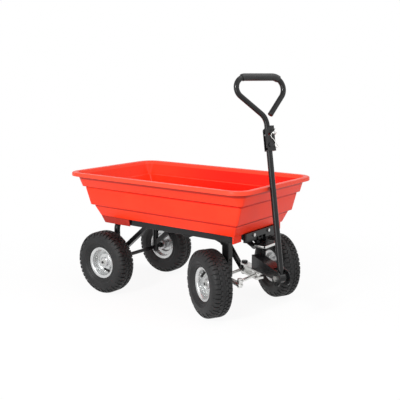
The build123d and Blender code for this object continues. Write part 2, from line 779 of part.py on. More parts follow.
with BuildPart() as swivel_bolt:
    with BuildSketch(steered_top(swivel_axis, swivel_bottom_z)):
        RegularPolygon(kingpin_head_radius, 6)
    extrude(amount=-kingpin_head)
    with BuildSketch(steered_top(swivel_axis, swivel_bottom_z)):
        Circle(kingpin_radius)
    extrude(amount=tongue_bottom_z - swivel_bottom_z)
    with BuildSketch(steered_top(swivel_axis, tongue_bottom_z)):
        RegularPolygon(kingpin_head_radius, 6)
    extrude(amount=kingpin_head)
save(swivel_bolt, "swivel_bolt")

joint_top_z = left_eye_z + eye_thickness + pivot_gap
with BuildPart() as tie_rod_bolt:
    with BuildSketch(steered_top(swivel_joint, swivel_bottom_z)):
        RegularPolygon(joint_head_radius, 6)
    extrude(amount=-joint_head)
    with BuildSketch(steered_top(swivel_joint, swivel_bottom_z)):
        Circle(joint_bolt_radius)
    extrude(amount=joint_top_z - swivel_bottom_z)
    with BuildSketch(steered_top(swivel_joint, swivel_lower_top)):
        Circle(washer_radius)
    extrude(amount=right_eye_z - pivot_gap - swivel_lower_top)
    with BuildSketch(steered_top(swivel_joint, joint_top_z)):
        RegularPolygon(joint_head_radius, 6)
    extrude(amount=joint_head)
save(tie_rod_bolt, "tie_rod_bolt")

# Tongue: a folded channel, open below, whose top falls forward and whose walls end as two round cheeks
with BuildPart() as tongue:
    with BuildSketch(steered_side(swivel_axis)):
        with BuildLine():
            Polyline((tongue_start, tongue_bottom_z), (tongue_start, tongue_top_z),
                     (tongue_web_end, tongue_front_z), (tongue_reach, handle_pivot_z + cheek_radius),
                     (tongue_reach, tongue_bottom_z), close=True)
        make_face()
        with Locations((tongue_reach, handle_pivot_z)):
            Circle(cheek_radius)
            Circle(pivot_bolt_radius + running_gap, mode=Mode.SUBTRACT)
    extrude(amount=tongue_width / 2, both=True)
    with BuildSketch(steered_side(swivel_axis)):
        with BuildLine():
            Polyline((tongue_start, 0), (tongue_start, tongue_top_z - tongue_wall),
                     (tongue_web_end, tongue_front_z - tongue_wall), (tongue_web_end, tongue_top_z),
                     (2 * tongue_reach, tongue_top_z), (2 * tongue_reach, 0), close=True)
        make_face()
    extrude(amount=tongue_width / 2 - tongue_wall, both=True, mode=Mode.SUBTRACT)
save(tongue, "tongue")

with BuildPart() as handle_bolt:
    bolt_plane = steered_side(handle_pivot)
    with BuildSketch(bolt_plane):
        Circle(pivot_bolt_radius)
    extrude(amount=tongue_width / 2, both=True)
    for head_plane in (bolt_plane.offset(tongue_width / 2),
                       bolt_plane.offset(-tongue_width / 2 - pivot_head)):
        with BuildSketch(head_plane):
            RegularPolygon(pivot_head_radius, 6)
        extrude(amount=pivot_head)
save(handle_bolt, "handle_bolt")

# Handle: a tube welded to its pivot bush, with the hitch bracket on top
bush_half_length = tongue_width / 2 - tongue_wall - face_gap
with BuildPart() as handle_shaft:
    with BuildSketch(across_shaft(0)):
        Circle(shaft_radius)
        Circle(shaft_radius - shaft_wall, mode=Mode.SUBTRACT)
    extrude(amount=shaft_length)
    with BuildSketch(steered_side(handle_pivot)):
        Circle(bush_radius)
    extrude(amount=bush_half_length, both=True)
    with BuildSketch(steered_side(handle_pivot)):
        Circle(pivot_bolt_radius + running_gap)
    extrude(amount=bush_half_length, both=True, mode=Mode.SUBTRACT)
save(handle_shaft, "handle_shaft")

bracket_inner = grip_tube_radius + face_gap
bracket_outer = bracket_inner + bracket_sheet
bracket_open_side = grip_tube_radius + bracket_margin
clip_side = grip_tube_radius + clip_tube_gap + clip_radius
bracket_web_side = clip_side + clip_radius + clip_web_gap + bracket_sheet
fold_s = shaft_length + fold_height
hitch_s = shaft_length + hitch_hole_height
clip_s = shaft_length + clip_height
bracket_top = shaft_length + bracket_length
with BuildPart() as hitch_bracket:
    with BuildSketch(grip_face(-bracket_outer)):
        with BuildLine():
            Polyline((-bracket_open_side, shaft_length), (bracket_web_side, shaft_length),
                     (bracket_web_side, bracket_top), (bracket_chamfer - bracket_open_side, bracket_top),
                     (-bracket_open_side, bracket_top - bracket_chamfer), close=True)
        make_face()
        with Locations((0, fold_s)):
            Circle(fold_bolt_radius + running_gap, mode=Mode.SUBTRACT)
        with Locations((0, hitch_s)):
            Circle(hitch_hole_radius, mode=Mode.SUBTRACT)
        with Locations((clip_side, clip_s)):
            Circle(clip_radius + running_gap, mode=Mode.SUBTRACT)
    extrude(amount=2 * bracket_outer)
    with BuildSketch(grip_face(-bracket_inner)):
        with Locations((bracket_web_side - bracket_sheet, shaft_length + bracket_base)):
            Rectangle(2 * bracket_web_side, bracket_length, align=(Align.MAX, Align.MIN))
    extrude(amount=2 * bracket_inner, mode=Mode.SUBTRACT)
save(hitch_bracket, "hitch_bracket")

with BuildPart() as fold_bolt:
    with BuildSketch(grip_face(-bracket_outer)):
        with Locations((0, fold_s)):
            Circle(fold_bolt_radius)
    extrude(amount=2 * bracket_outer)
    for head_out in (bracket_outer, -bracket_outer - fold_head):
        with BuildSketch(grip_face(head_out)):
            with Locations((0, fold_s)):
                RegularPolygon(fold_head_radius, 6)
        extrude(amount=fold_head)
save(fold_bolt, "fold_bolt")

# Grip: one bent tube from the stem round the open loop to its plugged end
stem_foot = fold_s - grip_tube_radius
neck_s = shaft_length + loop_start
loop_s = shaft_length + loop_top
loop_end = (loop_end_side, neck_s + loop_end_rise)
with BuildPart() as grip_tube:
    with BuildLine(grip_face(0)) as grip_line:
        FilletPolyline((0, stem_foot), (0, neck_s), (-loop_near_side, loop_s), (loop_far_side, loop_s),
                       loop_end, radius=[neck_bend, near_bend, far_bend])
    with BuildSketch(across_shaft(stem_foot)):
        Circle(grip_tube_radius)
    sweep(path=grip_line.line)
    with BuildSketch(grip_face(-bracket_outer)):
        with Locations((0, fold_s)):
            Circle(fold_bolt_radius + running_gap)
        with Locations((0, hitch_s)):
            Circle(hitch_hole_radius)
    extrude(amount=2 * bracket_outer, mode=Mode.SUBTRACT)
save(grip_tube, "grip_tube")

# Grip sleeve: it covers the loop's level run and wraps a little way round both of its bends
near_angle = atan2(loop_s - neck_s, loop_near_side)
far_angle = atan2(loop_s - loop_end[1], loop_far_side - loop_end_side)
near_tangent = near_bend / tan(near_angle / 2) - loop_near_side
far_tangent = loop_far_side - far_bend / tan(far_angle / 2)
near_turn = radians(grip_near_wrap)
near_end = (near_tangent - near_bend * sin(near_turn), loop_s - near_bend * (1 - cos(near_turn)))
with BuildPart() as grip_sleeve:
    with BuildLine(grip_face(0)) as sleeve_line:
        CenterArc((near_tangent, loop_s - near_bend), near_bend, 90 + grip_near_wrap, -grip_near_wrap)
        Line((near_tangent, loop_s), (far_tangent, loop_s))
        CenterArc((far_tangent, loop_s - far_bend), far_bend, 90, -grip_far_wrap)
    sleeve_start = handle_pivot + left * near_end[0] + shaft_up * near_end[1]
    sleeve_dir = left * cos(near_turn) + shaft_up * sin(near_turn)
    with BuildSketch(Plane(origin=sleeve_start, x_dir=shaft_front, z_dir=sleeve_dir)):
        Circle(grip_tube_radius + grip_wall)
        Circle(grip_tube_radius + running_gap, mode=Mode.SUBTRACT)
    sweep(path=sleeve_line.line)
    sleeve_ends = grip_sleeve.faces().filter_by(GeomType.PLANE)
    fillet([end.outer_wire().edges()[0] for end in sleeve_ends], radius=grip_round)
save(grip_sleeve, "grip_sleeve")

plug_dir = left * -cos(far_angle) - shaft_up * sin(far_angle)
plug_start = handle_pivot + left * loop_end_side + shaft_up * loop_end[1]
with BuildPart() as grip_plug:
    with BuildSketch(Plane(origin=plug_start, x_dir=shaft_front, z_dir=plug_dir)):
        Circle(grip_tube_radius)
    extrude(amount=plug_length)
    fillet(grip_plug.faces().sort_by(Axis(plug_start, plug_dir))[-1].edges(), radius=plug_round)
save(grip_plug, "grip_plug")

# Spring clip: a straight leg through both flanges, wound into a finger loop in front
clip_plane = Plane(origin=handle_pivot + left * clip_side, x_dir=shaft_front, z_dir=-left)
with BuildPart() as spring_clip:
    with BuildLine(clip_plane) as clip_line:
        Line((-clip_reach, clip_s), (clip_stand_off, clip_s))
        CenterArc((clip_stand_off, clip_s - clip_loop), clip_loop, 90, -270)
    with BuildSketch(Plane(origin=clip_plane.from_local_coords((-clip_reach, clip_s, 0)), x_dir=left,
                           z_dir=shaft_front)):
        Circle(clip_radius)
    sweep(path=clip_line.line)
save(spring_clip, "spring_clip")

# Wheels: each is turned about its own axle, +Z outwards, then set on its stub or axle
flange_inner = rim_half_width - flange_sheet
seat_edge = flange_inner - well_depth
well_edge = seat_edge - bead_seat_width
barrel = bead_radius - well_depth
barrel_inside = barrel - rim_sheet
press_shift = rim_sheet / 3
flare = barrel - press_shift
flare_edge = rim_half_width - rim_sheet / 2
disc_front = disc_dish + rim_sheet
cup_back = disc_dish + cup_rise
cup_front = cup_back + rim_sheet
cup_foot = cup_radius + cup_slope
bore = hub_radius + running_gap
with BuildPart() as rim_form:
    with BuildSketch(Plane.XZ):
        with BuildLine():
            Polyline((rim_flange_radius, rim_half_width), (rim_flange_radius, flange_inner),
                     (bead_radius, seat_edge), (barrel, well_edge), (barrel, -well_edge),
                     (bead_radius, -seat_edge), (rim_flange_radius, -flange_inner),
                     (rim_flange_radius, -rim_half_width), (flare, -flare_edge),
                     (barrel_inside, -well_edge), (barrel_inside, disc_dish), (cup_foot, disc_dish),
                     (cup_radius, cup_back), (bore, cup_back), (bore, cup_front),
                     (cup_radius + press_shift, cup_front), (cup_foot + press_shift, disc_front),
                     (barrel_inside, disc_front), (barrel_inside, well_edge), (flare, flare_edge), close=True)
        make_face()
    revolve(axis=Axis.Z)

half_tyre = tyre_width / 2
widest_radius = tyre_radius - widest_drop
sidewall_radius = tyre_radius - sidewall_drop
crown_radius = tyre_radius - crown_drop
shoulder_radius = tyre_radius - shoulder_drop
shoulder_half = half_tyre - shoulder_tuck
crown_half = half_tyre - crown_tuck
bead_inside = bead_radius + pivot_gap
bead_edge = seat_edge - bead_width
flange_outside = rim_flange_radius + pivot_gap
outer_half = [(bead_inside, bead_edge), (bead_inside, seat_edge - face_gap),
              (flange_outside, flange_inner - pivot_gap), (flange_outside, rim_half_width + sidewall_start),
              (sidewall_radius, half_tyre - sidewall_tuck), (widest_radius, half_tyre),
              (tyre_radius - buttress_drop, half_tyre - buttress_tuck), (shoulder_radius, shoulder_half),
              (crown_radius, crown_half), (tyre_radius, 0)]
inner_half = [(tyre_radius - casing, 0), (crown_radius - casing, crown_half),
              (shoulder_radius - casing, shoulder_half - casing), (widest_radius, half_tyre - casing),
              (sidewall_radius, half_tyre - sidewall_tuck - casing),
              (flange_outside, rim_half_width - casing), (bead_inside + bead_toe, bead_edge)]
tyre_outline = outer_half + [(r, -w) for r, w in reversed(outer_half[:-1])]
tyre_outline += [(r, -w) for r, w in reversed(inner_half[1:])] + inner_half
notch_floor = tyre_radius - tread_depth
notch_top = tyre_radius + tread_depth
with BuildPart() as tyre_form:
    with BuildSketch(Plane.XZ):
        with BuildLine():
            Polyline(*tyre_outline, close=True)
        make_face()
    revolve(axis=Axis.Z)
    for side, turn in ((1, 0), (-1, 180 / tread_notches)):
        rib_edge = side * tread_rib_half_width
        notch_edge = side * (half_tyre + notch_overrun)
        for notch in range(tread_notches):
            angle = turn + notch * 360 / tread_notches
            with BuildSketch(Plane.XZ.rotated((0, 0, angle))):
                with BuildLine():
                    Polyline((notch_floor, rib_edge), (notch_top, rib_edge), (notch_top, notch_edge),
                             (notch_floor - notch_slope, notch_edge), close=True)
                make_face()
            extrude(amount=tread_notch_width / 2, both=True, mode=Mode.SUBTRACT)

with BuildPart() as hub_form:
    with BuildSketch(Plane.XY.offset(-hub_half_length)):
        Circle(hub_radius)
        Circle(axle_radius + running_gap, mode=Mode.SUBTRACT)
    extrude(amount=2 * hub_half_length)
    chamfer(hub_form.edges().filter_by(GeomType.CIRCLE).group_by(SortBy.RADIUS)[-1], length=hub_chamfer)

valve_plane = Plane(origin=(valve_elbow_radius, 0, valve_elbow_height), x_dir=(0, 1, 0),
                    z_dir=(-sin(radians(valve_lean)), 0, cos(radians(valve_lean))))
with BuildPart() as valve_form:
    with BuildSketch(Plane.YZ.offset(valve_elbow_radius)):
        with Locations((0, valve_elbow_height)):
            Circle(valve_stem_radius)
    extrude(amount=barrel - valve_elbow_radius)
    with BuildSketch(Plane.XY):
        Circle(barrel_inside)
    extrude(amount=rim_half_width, mode=Mode.INTERSECT)
    with Locations(valve_plane.location):
        Sphere(valve_stem_radius)
    with BuildSketch(valve_plane):
        Circle(valve_stem_radius)
    extrude(amount=valve_stem_length)
    with BuildSketch(valve_plane.offset(valve_stem_length)):
        Circle(valve_tip_radius)
    extrude(amount=valve_tip_length)

rear_valve_dir = cart_ahead * cos(radians(rear_valve_angle)) + up * sin(radians(rear_valve_angle))
front_valve_dir = ahead * cos(radians(front_valve_angle)) + up * sin(radians(front_valve_angle))
wheel_places = []
for side, name in ((1, "left"), (-1, "right")):
    stub = Vector(front_x, side * kingpin_y, tyre_radius) + left * (side * kingpin_offset)
    wheel_places.append((f"front_{name}", Plane(origin=stub, x_dir=front_valve_dir, z_dir=left * side)))
    hub = Vector(rear_x, side * track / 2, tyre_radius)
    wheel_places.append((f"rear_{name}", Plane(origin=hub, x_dir=rear_valve_dir, z_dir=cart_left * side)))

wheel_forms = (("tyre", tyre_form), ("rim", rim_form), ("hub", hub_form), ("valve", valve_form))
for name, place in wheel_places:
    for piece_name, form in wheel_forms:
        with BuildPart() as wheel_piece:
            with Locations(place.location):
                add(form.part)
        save(wheel_piece, f"{piece_name}_{name}")
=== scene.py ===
# %% [markdown]
# # A garden dump cart
# The cart arrives from CAD as a imported frame: every tube, plate, bolt and wheel is a node that already
# sits in its place. This lesson gives those nodes their real finishes. It models again the pieces whose
# moulded, pressed or turned shape matters to the eye, such as tub, tyres, rims and steering, and adds some
# small ones that the CAD model does without.

# %% Load the frame
import json
import math

import bmesh
import bpy
from mathutils import Matrix, Vector


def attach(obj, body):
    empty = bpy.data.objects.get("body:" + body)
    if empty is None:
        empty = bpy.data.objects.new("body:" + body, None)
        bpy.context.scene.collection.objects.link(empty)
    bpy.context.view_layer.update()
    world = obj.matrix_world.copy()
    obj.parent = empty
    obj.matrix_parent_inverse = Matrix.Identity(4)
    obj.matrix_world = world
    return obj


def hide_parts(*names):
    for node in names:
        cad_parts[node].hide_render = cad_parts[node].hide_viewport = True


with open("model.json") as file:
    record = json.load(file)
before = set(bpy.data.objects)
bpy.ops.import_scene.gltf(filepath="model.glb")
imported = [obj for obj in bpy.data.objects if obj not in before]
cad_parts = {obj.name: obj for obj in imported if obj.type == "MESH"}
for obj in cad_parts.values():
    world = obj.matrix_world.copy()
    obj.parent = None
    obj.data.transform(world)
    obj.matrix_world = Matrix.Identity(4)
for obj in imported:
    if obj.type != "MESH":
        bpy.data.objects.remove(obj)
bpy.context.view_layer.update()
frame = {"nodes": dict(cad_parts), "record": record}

MM = 0.001
nodes = frame["nodes"]
scene = bpy.context.scene
scene.view_settings.view_transform = "Standard"

# %% [markdown]
# ## Camera
# A camera can be set by eye, but then every size in the picture is a little wrong. This one was found by
# fitting the circles of the wheels and the corners of the tub's rim to the photograph. It stands at the
# cart's right front, a little above the tub, with a lens that is slightly longer than normal.

# %% Camera
camera_eye = Vector((1.6595, -2.2041, 0.9003))
camera_target = Vector((0.0732, -0.0903, 0.4213))
sensor_width = 36.0
picture_pixels = 400
focal_pixels = 690.5
look = (camera_target - camera_eye).to_track_quat("-Z", "Y").to_euler()
bpy.ops.object.camera_add(location=camera_eye, rotation=look)
camera = bpy.context.object
camera.data.sensor_width = sensor_width
camera.data.lens = focal_pixels / picture_pixels * sensor_width
scene.camera = camera
print("lens", round(camera.data.lens, 1), "mm")

# %% [markdown]
# ## Lamps
# A pale studio needs soft light from several sides. Sun lamps would be simpler, but their highlights are
# hard. So there are four square lamps: a small bright one and a low wide one on the camera's side, a weak
# one in front of the cart and a large one above.

# %% Lamps
def add_lamp(name, place, target, size, watts):
    """A square soft lamp that points from place to target."""
    turn = (Vector(target) - Vector(place)).to_track_quat("-Z", "Y").to_euler()
    bpy.ops.object.light_add(type="AREA", location=place, rotation=turn)
    lamp = bpy.context.object
    lamp.name = name
    lamp.data.size = size
    lamp.data.energy = watts
    print(name, watts, "W")


add_lamp("key_lamp", place=(0.2, -2.9, 1.9), target=(0, 0, 0.35), size=0.5, watts=60)
add_lamp("low_lamp", place=(0.2, -3.2, 0.6), target=(0, 0, 0.3), size=1.2, watts=16)
add_lamp("front_lamp", place=(3.0, 0.2, 1.7), target=(0, 0, 0.4), size=1.8, watts=6)
add_lamp("top_lamp", place=(1.3, 0.3, 3.0), target=(0, 0, 0.3), size=2.2, watts=28)

# %% [markdown]
# ## Sky
# The sky fills the shadows evenly. A sky bright enough to look white would wash the colours out, so it
# has two strengths: full white for the rays that see it, directly or in a reflection, and less for the
# light it gives.

# %% Sky
sky_strength = 0.42
white = (1, 1, 1, 1)


def rays_that_see(tree):
    """A value of 1 for the rays of the camera, of reflections and through glass, and 0 for all others."""
    path = tree.nodes.new("ShaderNodeLightPath")
    total = path.outputs["Is Camera Ray"]
    for kind in ("Is Glossy Ray", "Is Transmission Ray"):
        add = tree.nodes.new("ShaderNodeMath")
        add.use_clamp = True
        tree.links.new(total, add.inputs[0])
        tree.links.new(path.outputs[kind], add.inputs[1])
        total = add.outputs[0]
    return total


world = bpy.data.worlds.new("studio_sky")
scene.world = world
world.use_nodes = True
sky = world.node_tree
sky_light = sky.nodes["Background"]
sky_light.inputs["Color"].default_value = white
sky_level = sky.nodes.new("ShaderNodeMapRange")
sky_level.inputs["To Min"].default_value = sky_strength
sky_level.inputs["To Max"].default_value = 1.0
sky.links.new(rays_that_see(sky), sky_level.inputs["Value"])
sky.links.new(sky_level.outputs["Result"], sky_light.inputs["Strength"])
print("sky", sky_strength)

# %% [markdown]
# ## Floor
# The floor is a matt plane that glows a little, as a lit table does, and so fills the faces that look
# down. To the camera and in reflections it is white too. Near the cart it keeps a share of its own
# shading, so that the cart's shadow stays, and this fades out before the floor ends.

# %% Floor
floor_size, floor_white, floor_rough = 14.0, 0.9, 0.9
floor_bounce = 0.16
shadow_share, shadow_near, shadow_far = 0.10, 0.5, 1.5
bpy.ops.mesh.primitive_plane_add(size=floor_size)
floor = bpy.context.object
floor.name = "studio_floor"
floor_finish = bpy.data.materials.new("studio_floor")
floor_finish.use_nodes = True
floor_nodes, floor_links = floor_finish.node_tree.nodes, floor_finish.node_tree.links
floor_matt = floor_nodes["Principled BSDF"]
floor_matt.inputs["Base Color"].default_value = (floor_white, floor_white, floor_white, 1)
floor_matt.inputs["Roughness"].default_value = floor_rough
floor_matt.inputs["Emission Color"].default_value = white
floor_matt.inputs["Emission Strength"].default_value = floor_bounce
floor_glow = floor_nodes.new("ShaderNodeEmission")
floor_place = floor_nodes.new("ShaderNodeTexCoord")
from_cart = floor_nodes.new("ShaderNodeVectorMath")
from_cart.operation = "LENGTH"
white_share = floor_nodes.new("ShaderNodeMapRange")
white_share.inputs["From Min"].default_value = shadow_near
white_share.inputs["From Max"].default_value = shadow_far
white_share.inputs["To Min"].default_value = 1 - shadow_share
white_share.inputs["To Max"].default_value = 1.0
floor_seen = floor_nodes.new("ShaderNodeMath")
floor_seen.operation = "MULTIPLY"
floor_mix = floor_nodes.new("ShaderNodeMixShader")
floor_links.new(floor_place.outputs["Object"], from_cart.inputs[0])
floor_links.new(from_cart.outputs["Value"], white_share.inputs["Value"])
floor_links.new(rays_that_see(floor_finish.node_tree), floor_seen.inputs[0])
floor_links.new(white_share.outputs["Result"], floor_seen.inputs[1])
floor_links.new(floor_seen.outputs[0], floor_mix.inputs["Fac"])
floor_links.new(floor_matt.outputs["BSDF"], floor_mix.inputs[1])
floor_links.new(floor_glow.outputs["Emission"], floor_mix.inputs[2])
floor_links.new(floor_mix.outputs["Shader"], floor_nodes["Material Output"].inputs["Surface"])
floor.data.materials.append(floor_finish)
print("floor", floor_size, "m wide")

# %% [markdown]
# ## Mottle
# New goods still vary a little: plastic is mottled where it cooled, paint is thinner here and thicker
# there. The nodes for this could stand in every material, but a node group is built once and placed in
# each with its own values. It gives the slow change as a mask from a cloudy noise.

# %% Mottle group
cloud_detail, cloud_rough = 5.0, 0.6


def new_group(name, inputs, output):
    """An empty shader node group with float inputs, given as name and value, and one float output."""
    tree = bpy.data.node_groups.new(name, "ShaderNodeTree")
    for socket, value in inputs.items():
        entry = tree.interface.new_socket(socket, in_out="INPUT", socket_type="NodeSocketFloat")
        entry.default_value = value
    tree.interface.new_socket(output, in_out="OUTPUT", socket_type="NodeSocketFloat")
    return tree, tree.nodes.new("NodeGroupInput"), tree.nodes.new("NodeGroupOutput")


mottle, mottle_in, mottle_out = new_group("mottle", {"Scale": 6.0, "Low": 0.35, "High": 0.65}, "Mask")
mottle_place = mottle.nodes.new("ShaderNodeTexCoord")
cloud = mottle.nodes.new("ShaderNodeTexNoise")
cloud.inputs["Detail"].default_value = cloud_detail
cloud.inputs["Roughness"].default_value = cloud_rough
spread = mottle.nodes.new("ShaderNodeMapRange")
mottle.links.new(mottle_place.outputs["Object"], cloud.inputs["Vector"])
mottle.links.new(mottle_in.outputs["Scale"], cloud.inputs["Scale"])
mottle.links.new(cloud.outputs["Fac"], spread.inputs["Value"])
mottle.links.new(mottle_in.outputs["Low"], spread.inputs["From Min"])
mottle.links.new(mottle_in.outputs["High"], spread.inputs["From Max"])
mottle.links.new(spread.outputs["Result"], mottle_out.inputs["Mask"])
print(mottle.name, len(mottle.nodes), "nodes")

# %% [markdown]
# ## Grain
# The fine surface is what tells plastic from paint and zinc: grain, orange peel or spangle. Modelled as
# geometry it would take millions of faces, so a second group gives it as a height for a bump. It mixes a
# soft noise with cells, and each finish chooses the share of both.

# %% Grain group
grain_detail = 3.0
grain, grain_in, grain_out = new_group("grain", {"Scale": 400.0, "Cells": 0.5}, "Height")
grain_place = grain.nodes.new("ShaderNodeTexCoord")
soft_grain = grain.nodes.new("ShaderNodeTexNoise")
soft_grain.inputs["Detail"].default_value = grain_detail
cell_grain = grain.nodes.new("ShaderNodeTexVoronoi")
for texture in (soft_grain, cell_grain):
    grain.links.new(grain_place.outputs["Object"], texture.inputs["Vector"])
    grain.links.new(grain_in.outputs["Scale"], texture.inputs["Scale"])
grain_mix = grain.nodes.new("ShaderNodeMix")
grain.links.new(grain_in.outputs["Cells"], grain_mix.inputs["Factor"])
grain.links.new(soft_grain.outputs["Fac"], grain_mix.inputs["A"])
grain.links.new(cell_grain.outputs["Distance"], grain_mix.inputs["B"])
grain.links.new(grain_mix.outputs["Result"], grain_out.inputs["Height"])
print(grain.name, len(grain.nodes), "nodes")

# %% [markdown]
# ## Finishes
# The cart has one bright plastic, black paint, bare and plated steel, and several blacks: tyre, valve,
# foam, plug and dark bolts. Each finish is one Principled shader. Its colour and roughness drift between
# two values under the mottle mask, and its normal carries the grain. What is the same all over a surface
# is set directly on the shader, because the export can drop it where it comes through other nodes.

# %% Finish maker
# a Mix node holds sockets for every kind of data, and these are the places of those for colours
COLOUR_A, COLOUR_B, COLOUR_RESULT = 6, 7, 2


def make_finish(name, dark, light, rough, mottle_scale, grain_scale, bump, cells=0.4, metal=0.0, shine=0.5):
    """A finish whose colour and roughness drift between two values over a grain; bump is in millimetres."""
    finish = bpy.data.materials.new(name)
    finish.use_nodes = True
    tree = finish.node_tree
    shader = tree.nodes["Principled BSDF"]
    shader.inputs["Metallic"].default_value = metal
    shader.inputs["Specular IOR Level"].default_value = shine
    drift = tree.nodes.new("ShaderNodeGroup")
    drift.node_tree = mottle
    drift.inputs["Scale"].default_value = mottle_scale
    colour = tree.nodes.new("ShaderNodeMix")
    colour.data_type = "RGBA"
    colour.inputs[COLOUR_A].default_value = (*dark, 1)
    colour.inputs[COLOUR_B].default_value = (*light, 1)
    gloss = tree.nodes.new("ShaderNodeMapRange")
    gloss.inputs["To Min"].default_value = rough[0]
    gloss.inputs["To Max"].default_value = rough[1]
    fine = tree.nodes.new("ShaderNodeGroup")
    fine.node_tree = grain
    fine.inputs["Scale"].default_value = grain_scale
    fine.inputs["Cells"].default_value = cells
    relief = tree.nodes.new("ShaderNodeBump")
    relief.inputs["Strength"].default_value = 1.0
    relief.inputs["Distance"].default_value = bump * MM
    tree.links.new(drift.outputs["Mask"], colour.inputs["Factor"])
    tree.links.new(colour.outputs[COLOUR_RESULT], shader.inputs["Base Color"])
    tree.links.new(drift.outputs["Mask"], gloss.inputs["Value"])
    tree.links.new(gloss.outputs["Result"], shader.inputs["Roughness"])
    tree.links.new(fine.outputs["Height"], relief.inputs["Height"])
    tree.links.new(relief.outputs["Normal"], shader.inputs["Normal"])
    return finish


# %% Finishes on the CAD nodes
finish_values = {
    "tub_plastic": dict(dark=(0.90, 0.034, 0.009), light=(0.95, 0.042, 0.011), rough=(0.30, 0.40),
                        mottle_scale=7.0, grain_scale=900.0, bump=0.05, shine=0.2),
    "black_steel": dict(dark=(0.005, 0.005, 0.0055), light=(0.009, 0.009, 0.0095), rough=(0.15, 0.24),
                        mottle_scale=14.0, grain_scale=420.0, bump=0.03, cells=0.1, shine=0.32),
    "zinc_steel": dict(dark=(0.58, 0.58, 0.57), light=(0.78, 0.78, 0.76), rough=(0.26, 0.42),
                       mottle_scale=60.0, grain_scale=300.0, bump=0.02, cells=0.8, metal=1.0),
    "tyre_rubber": dict(dark=(0.010, 0.010, 0.0105), light=(0.021, 0.021, 0.0215), rough=(0.42, 0.62),
                        mottle_scale=18.0, grain_scale=700.0, bump=0.10, shine=0.28),
    "rim_steel": dict(dark=(0.54, 0.55, 0.55), light=(0.66, 0.67, 0.67), rough=(0.22, 0.34),
                      mottle_scale=26.0, grain_scale=1100.0, bump=0.03, metal=0.75),
    "hub_steel": dict(dark=(0.46, 0.46, 0.47), light=(0.60, 0.60, 0.61), rough=(0.24, 0.36),
                      mottle_scale=40.0, grain_scale=600.0, bump=0.02, metal=0.9),
    "valve_rubber": dict(dark=(0.008, 0.008, 0.008), light=(0.014, 0.014, 0.014), rough=(0.5, 0.62),
                         mottle_scale=60.0, grain_scale=900.0, bump=0.04, shine=0.3),
    "grip_foam": dict(dark=(0.011, 0.011, 0.012), light=(0.020, 0.020, 0.021), rough=(0.34, 0.44),
                      mottle_scale=40.0, grain_scale=1300.0, bump=0.04, cells=0.7, shine=0.4),
    "plug_plastic": dict(dark=(0.008, 0.008, 0.008), light=(0.013, 0.013, 0.013), rough=(0.40, 0.5),
                         mottle_scale=60.0, grain_scale=700.0, bump=0.03, shine=0.3),
    "dark_fastener": dict(dark=(0.016, 0.016, 0.017), light=(0.035, 0.035, 0.036), rough=(0.32, 0.46),
                          mottle_scale=80.0, grain_scale=500.0, bump=0.02, metal=0.6),
}
finishes = {slot: make_finish(slot, **values) for slot, values in finish_values.items()}
for row in frame["record"]["subparts"]:
    node = nodes[row["node"]]
    node.data.materials.clear()
    node.data.materials.append(finishes[row["material_slot"]])
print(len(finishes), "finishes on", len(nodes), "nodes")

# %% [markdown]
# ## Skirts
# Under its third tier the tub ends in two skirts at the back and two tabs in front. The skirts are the
# same plastic and a little rougher. Their darker red is painted shade, for the shadow that falls on them
# under the tub, where the tabs are as bright as the tub. Two materials would need the node's faces told
# apart. One material does both: it goes over from the painted shade to the bright red along the cart.

# %% Skirt material with painted shade
skirt_dark_x, skirt_bright_x = -0.2, 0.1
tab_red = (0.93, 0.036, 0.009)


def axes_of(tree, coordinates):
    """The X, Y and Z of a surface's place ("Object") or of the way that it faces ("Normal")."""
    place = tree.nodes.new("ShaderNodeTexCoord")
    axes = tree.nodes.new("ShaderNodeSeparateXYZ")
    tree.links.new(place.outputs[coordinates], axes.inputs["Vector"])
    return axes.outputs


def rise(tree, value, low, high, shape="SMOOTHSTEP"):
    """A mask that goes from 0 to 1 while a value goes from low to high."""
    step = tree.nodes.new("ShaderNodeMapRange")
    step.interpolation_type = shape
    step.inputs["From Min"].default_value = low
    step.inputs["From Max"].default_value = high
    tree.links.new(value, step.inputs["Value"])
    return step.outputs["Result"]


def mix_in(tree, colour, mask):
    """Mix a colour into what the shader's base colour is so far."""
    base_colour = tree.nodes["Principled BSDF"].inputs["Base Color"]
    mix = tree.nodes.new("ShaderNodeMix")
    mix.data_type = "RGBA"
    mix.inputs[COLOUR_B].default_value = (*colour, 1)
    tree.links.new(mask, mix.inputs["Factor"])
    tree.links.new(base_colour.links[0].from_socket, mix.inputs[COLOUR_A])
    tree.links.new(mix.outputs[COLOUR_RESULT], base_colour)


# painted shade: the skirts' darker red stands in for the shadow under the tub, and tab_red brings the tabs
# in front back to the tub's red
skirt_shade_material = make_finish("skirt_painted_shade", dark=(0.36, 0.020, 0.012), light=(0.44, 0.028, 0.017),
                           rough=(0.40, 0.52), mottle_scale=30.0, grain_scale=900.0, bump=0.06, shine=0.2)
skirt_tree = skirt_shade_material.node_tree
along_cart = axes_of(skirt_tree, "Object")["X"]
mix_in(skirt_tree, tab_red, rise(skirt_tree, along_cart, skirt_dark_x, skirt_bright_x, "LINEAR"))
nodes["tub_skirts"].data.materials[0] = skirt_shade_material
print("skirts", len(skirt_tree.nodes), "shader nodes")

# %% [markdown]
# ## Working on a mesh
# Blender's operators act on whatever is selected and active, as they do for a person at the screen. So
# every step begins by letting go of everything and taking one piece. Whatever was extruded, spun or
# bridged ends with its doubles welded, its holes closed and its faces turned outwards.

# %% Selecting and closing
weld_distance = 0.01 * MM


def deselect_all():
    """Leave edit mode and let go of everything."""
    if bpy.context.mode != "OBJECT":
        bpy.ops.object.mode_set(mode="OBJECT")
    bpy.ops.object.select_all(action="DESELECT")


def take(piece):
    """Make one piece the only selected and active one."""
    deselect_all()
    piece.select_set(True)
    bpy.context.view_layer.objects.active = piece


def edit_all():
    """Go into edit mode with the whole of the active mesh selected."""
    bpy.ops.object.mode_set(mode="EDIT")
    bpy.ops.mesh.select_all(action="SELECT")


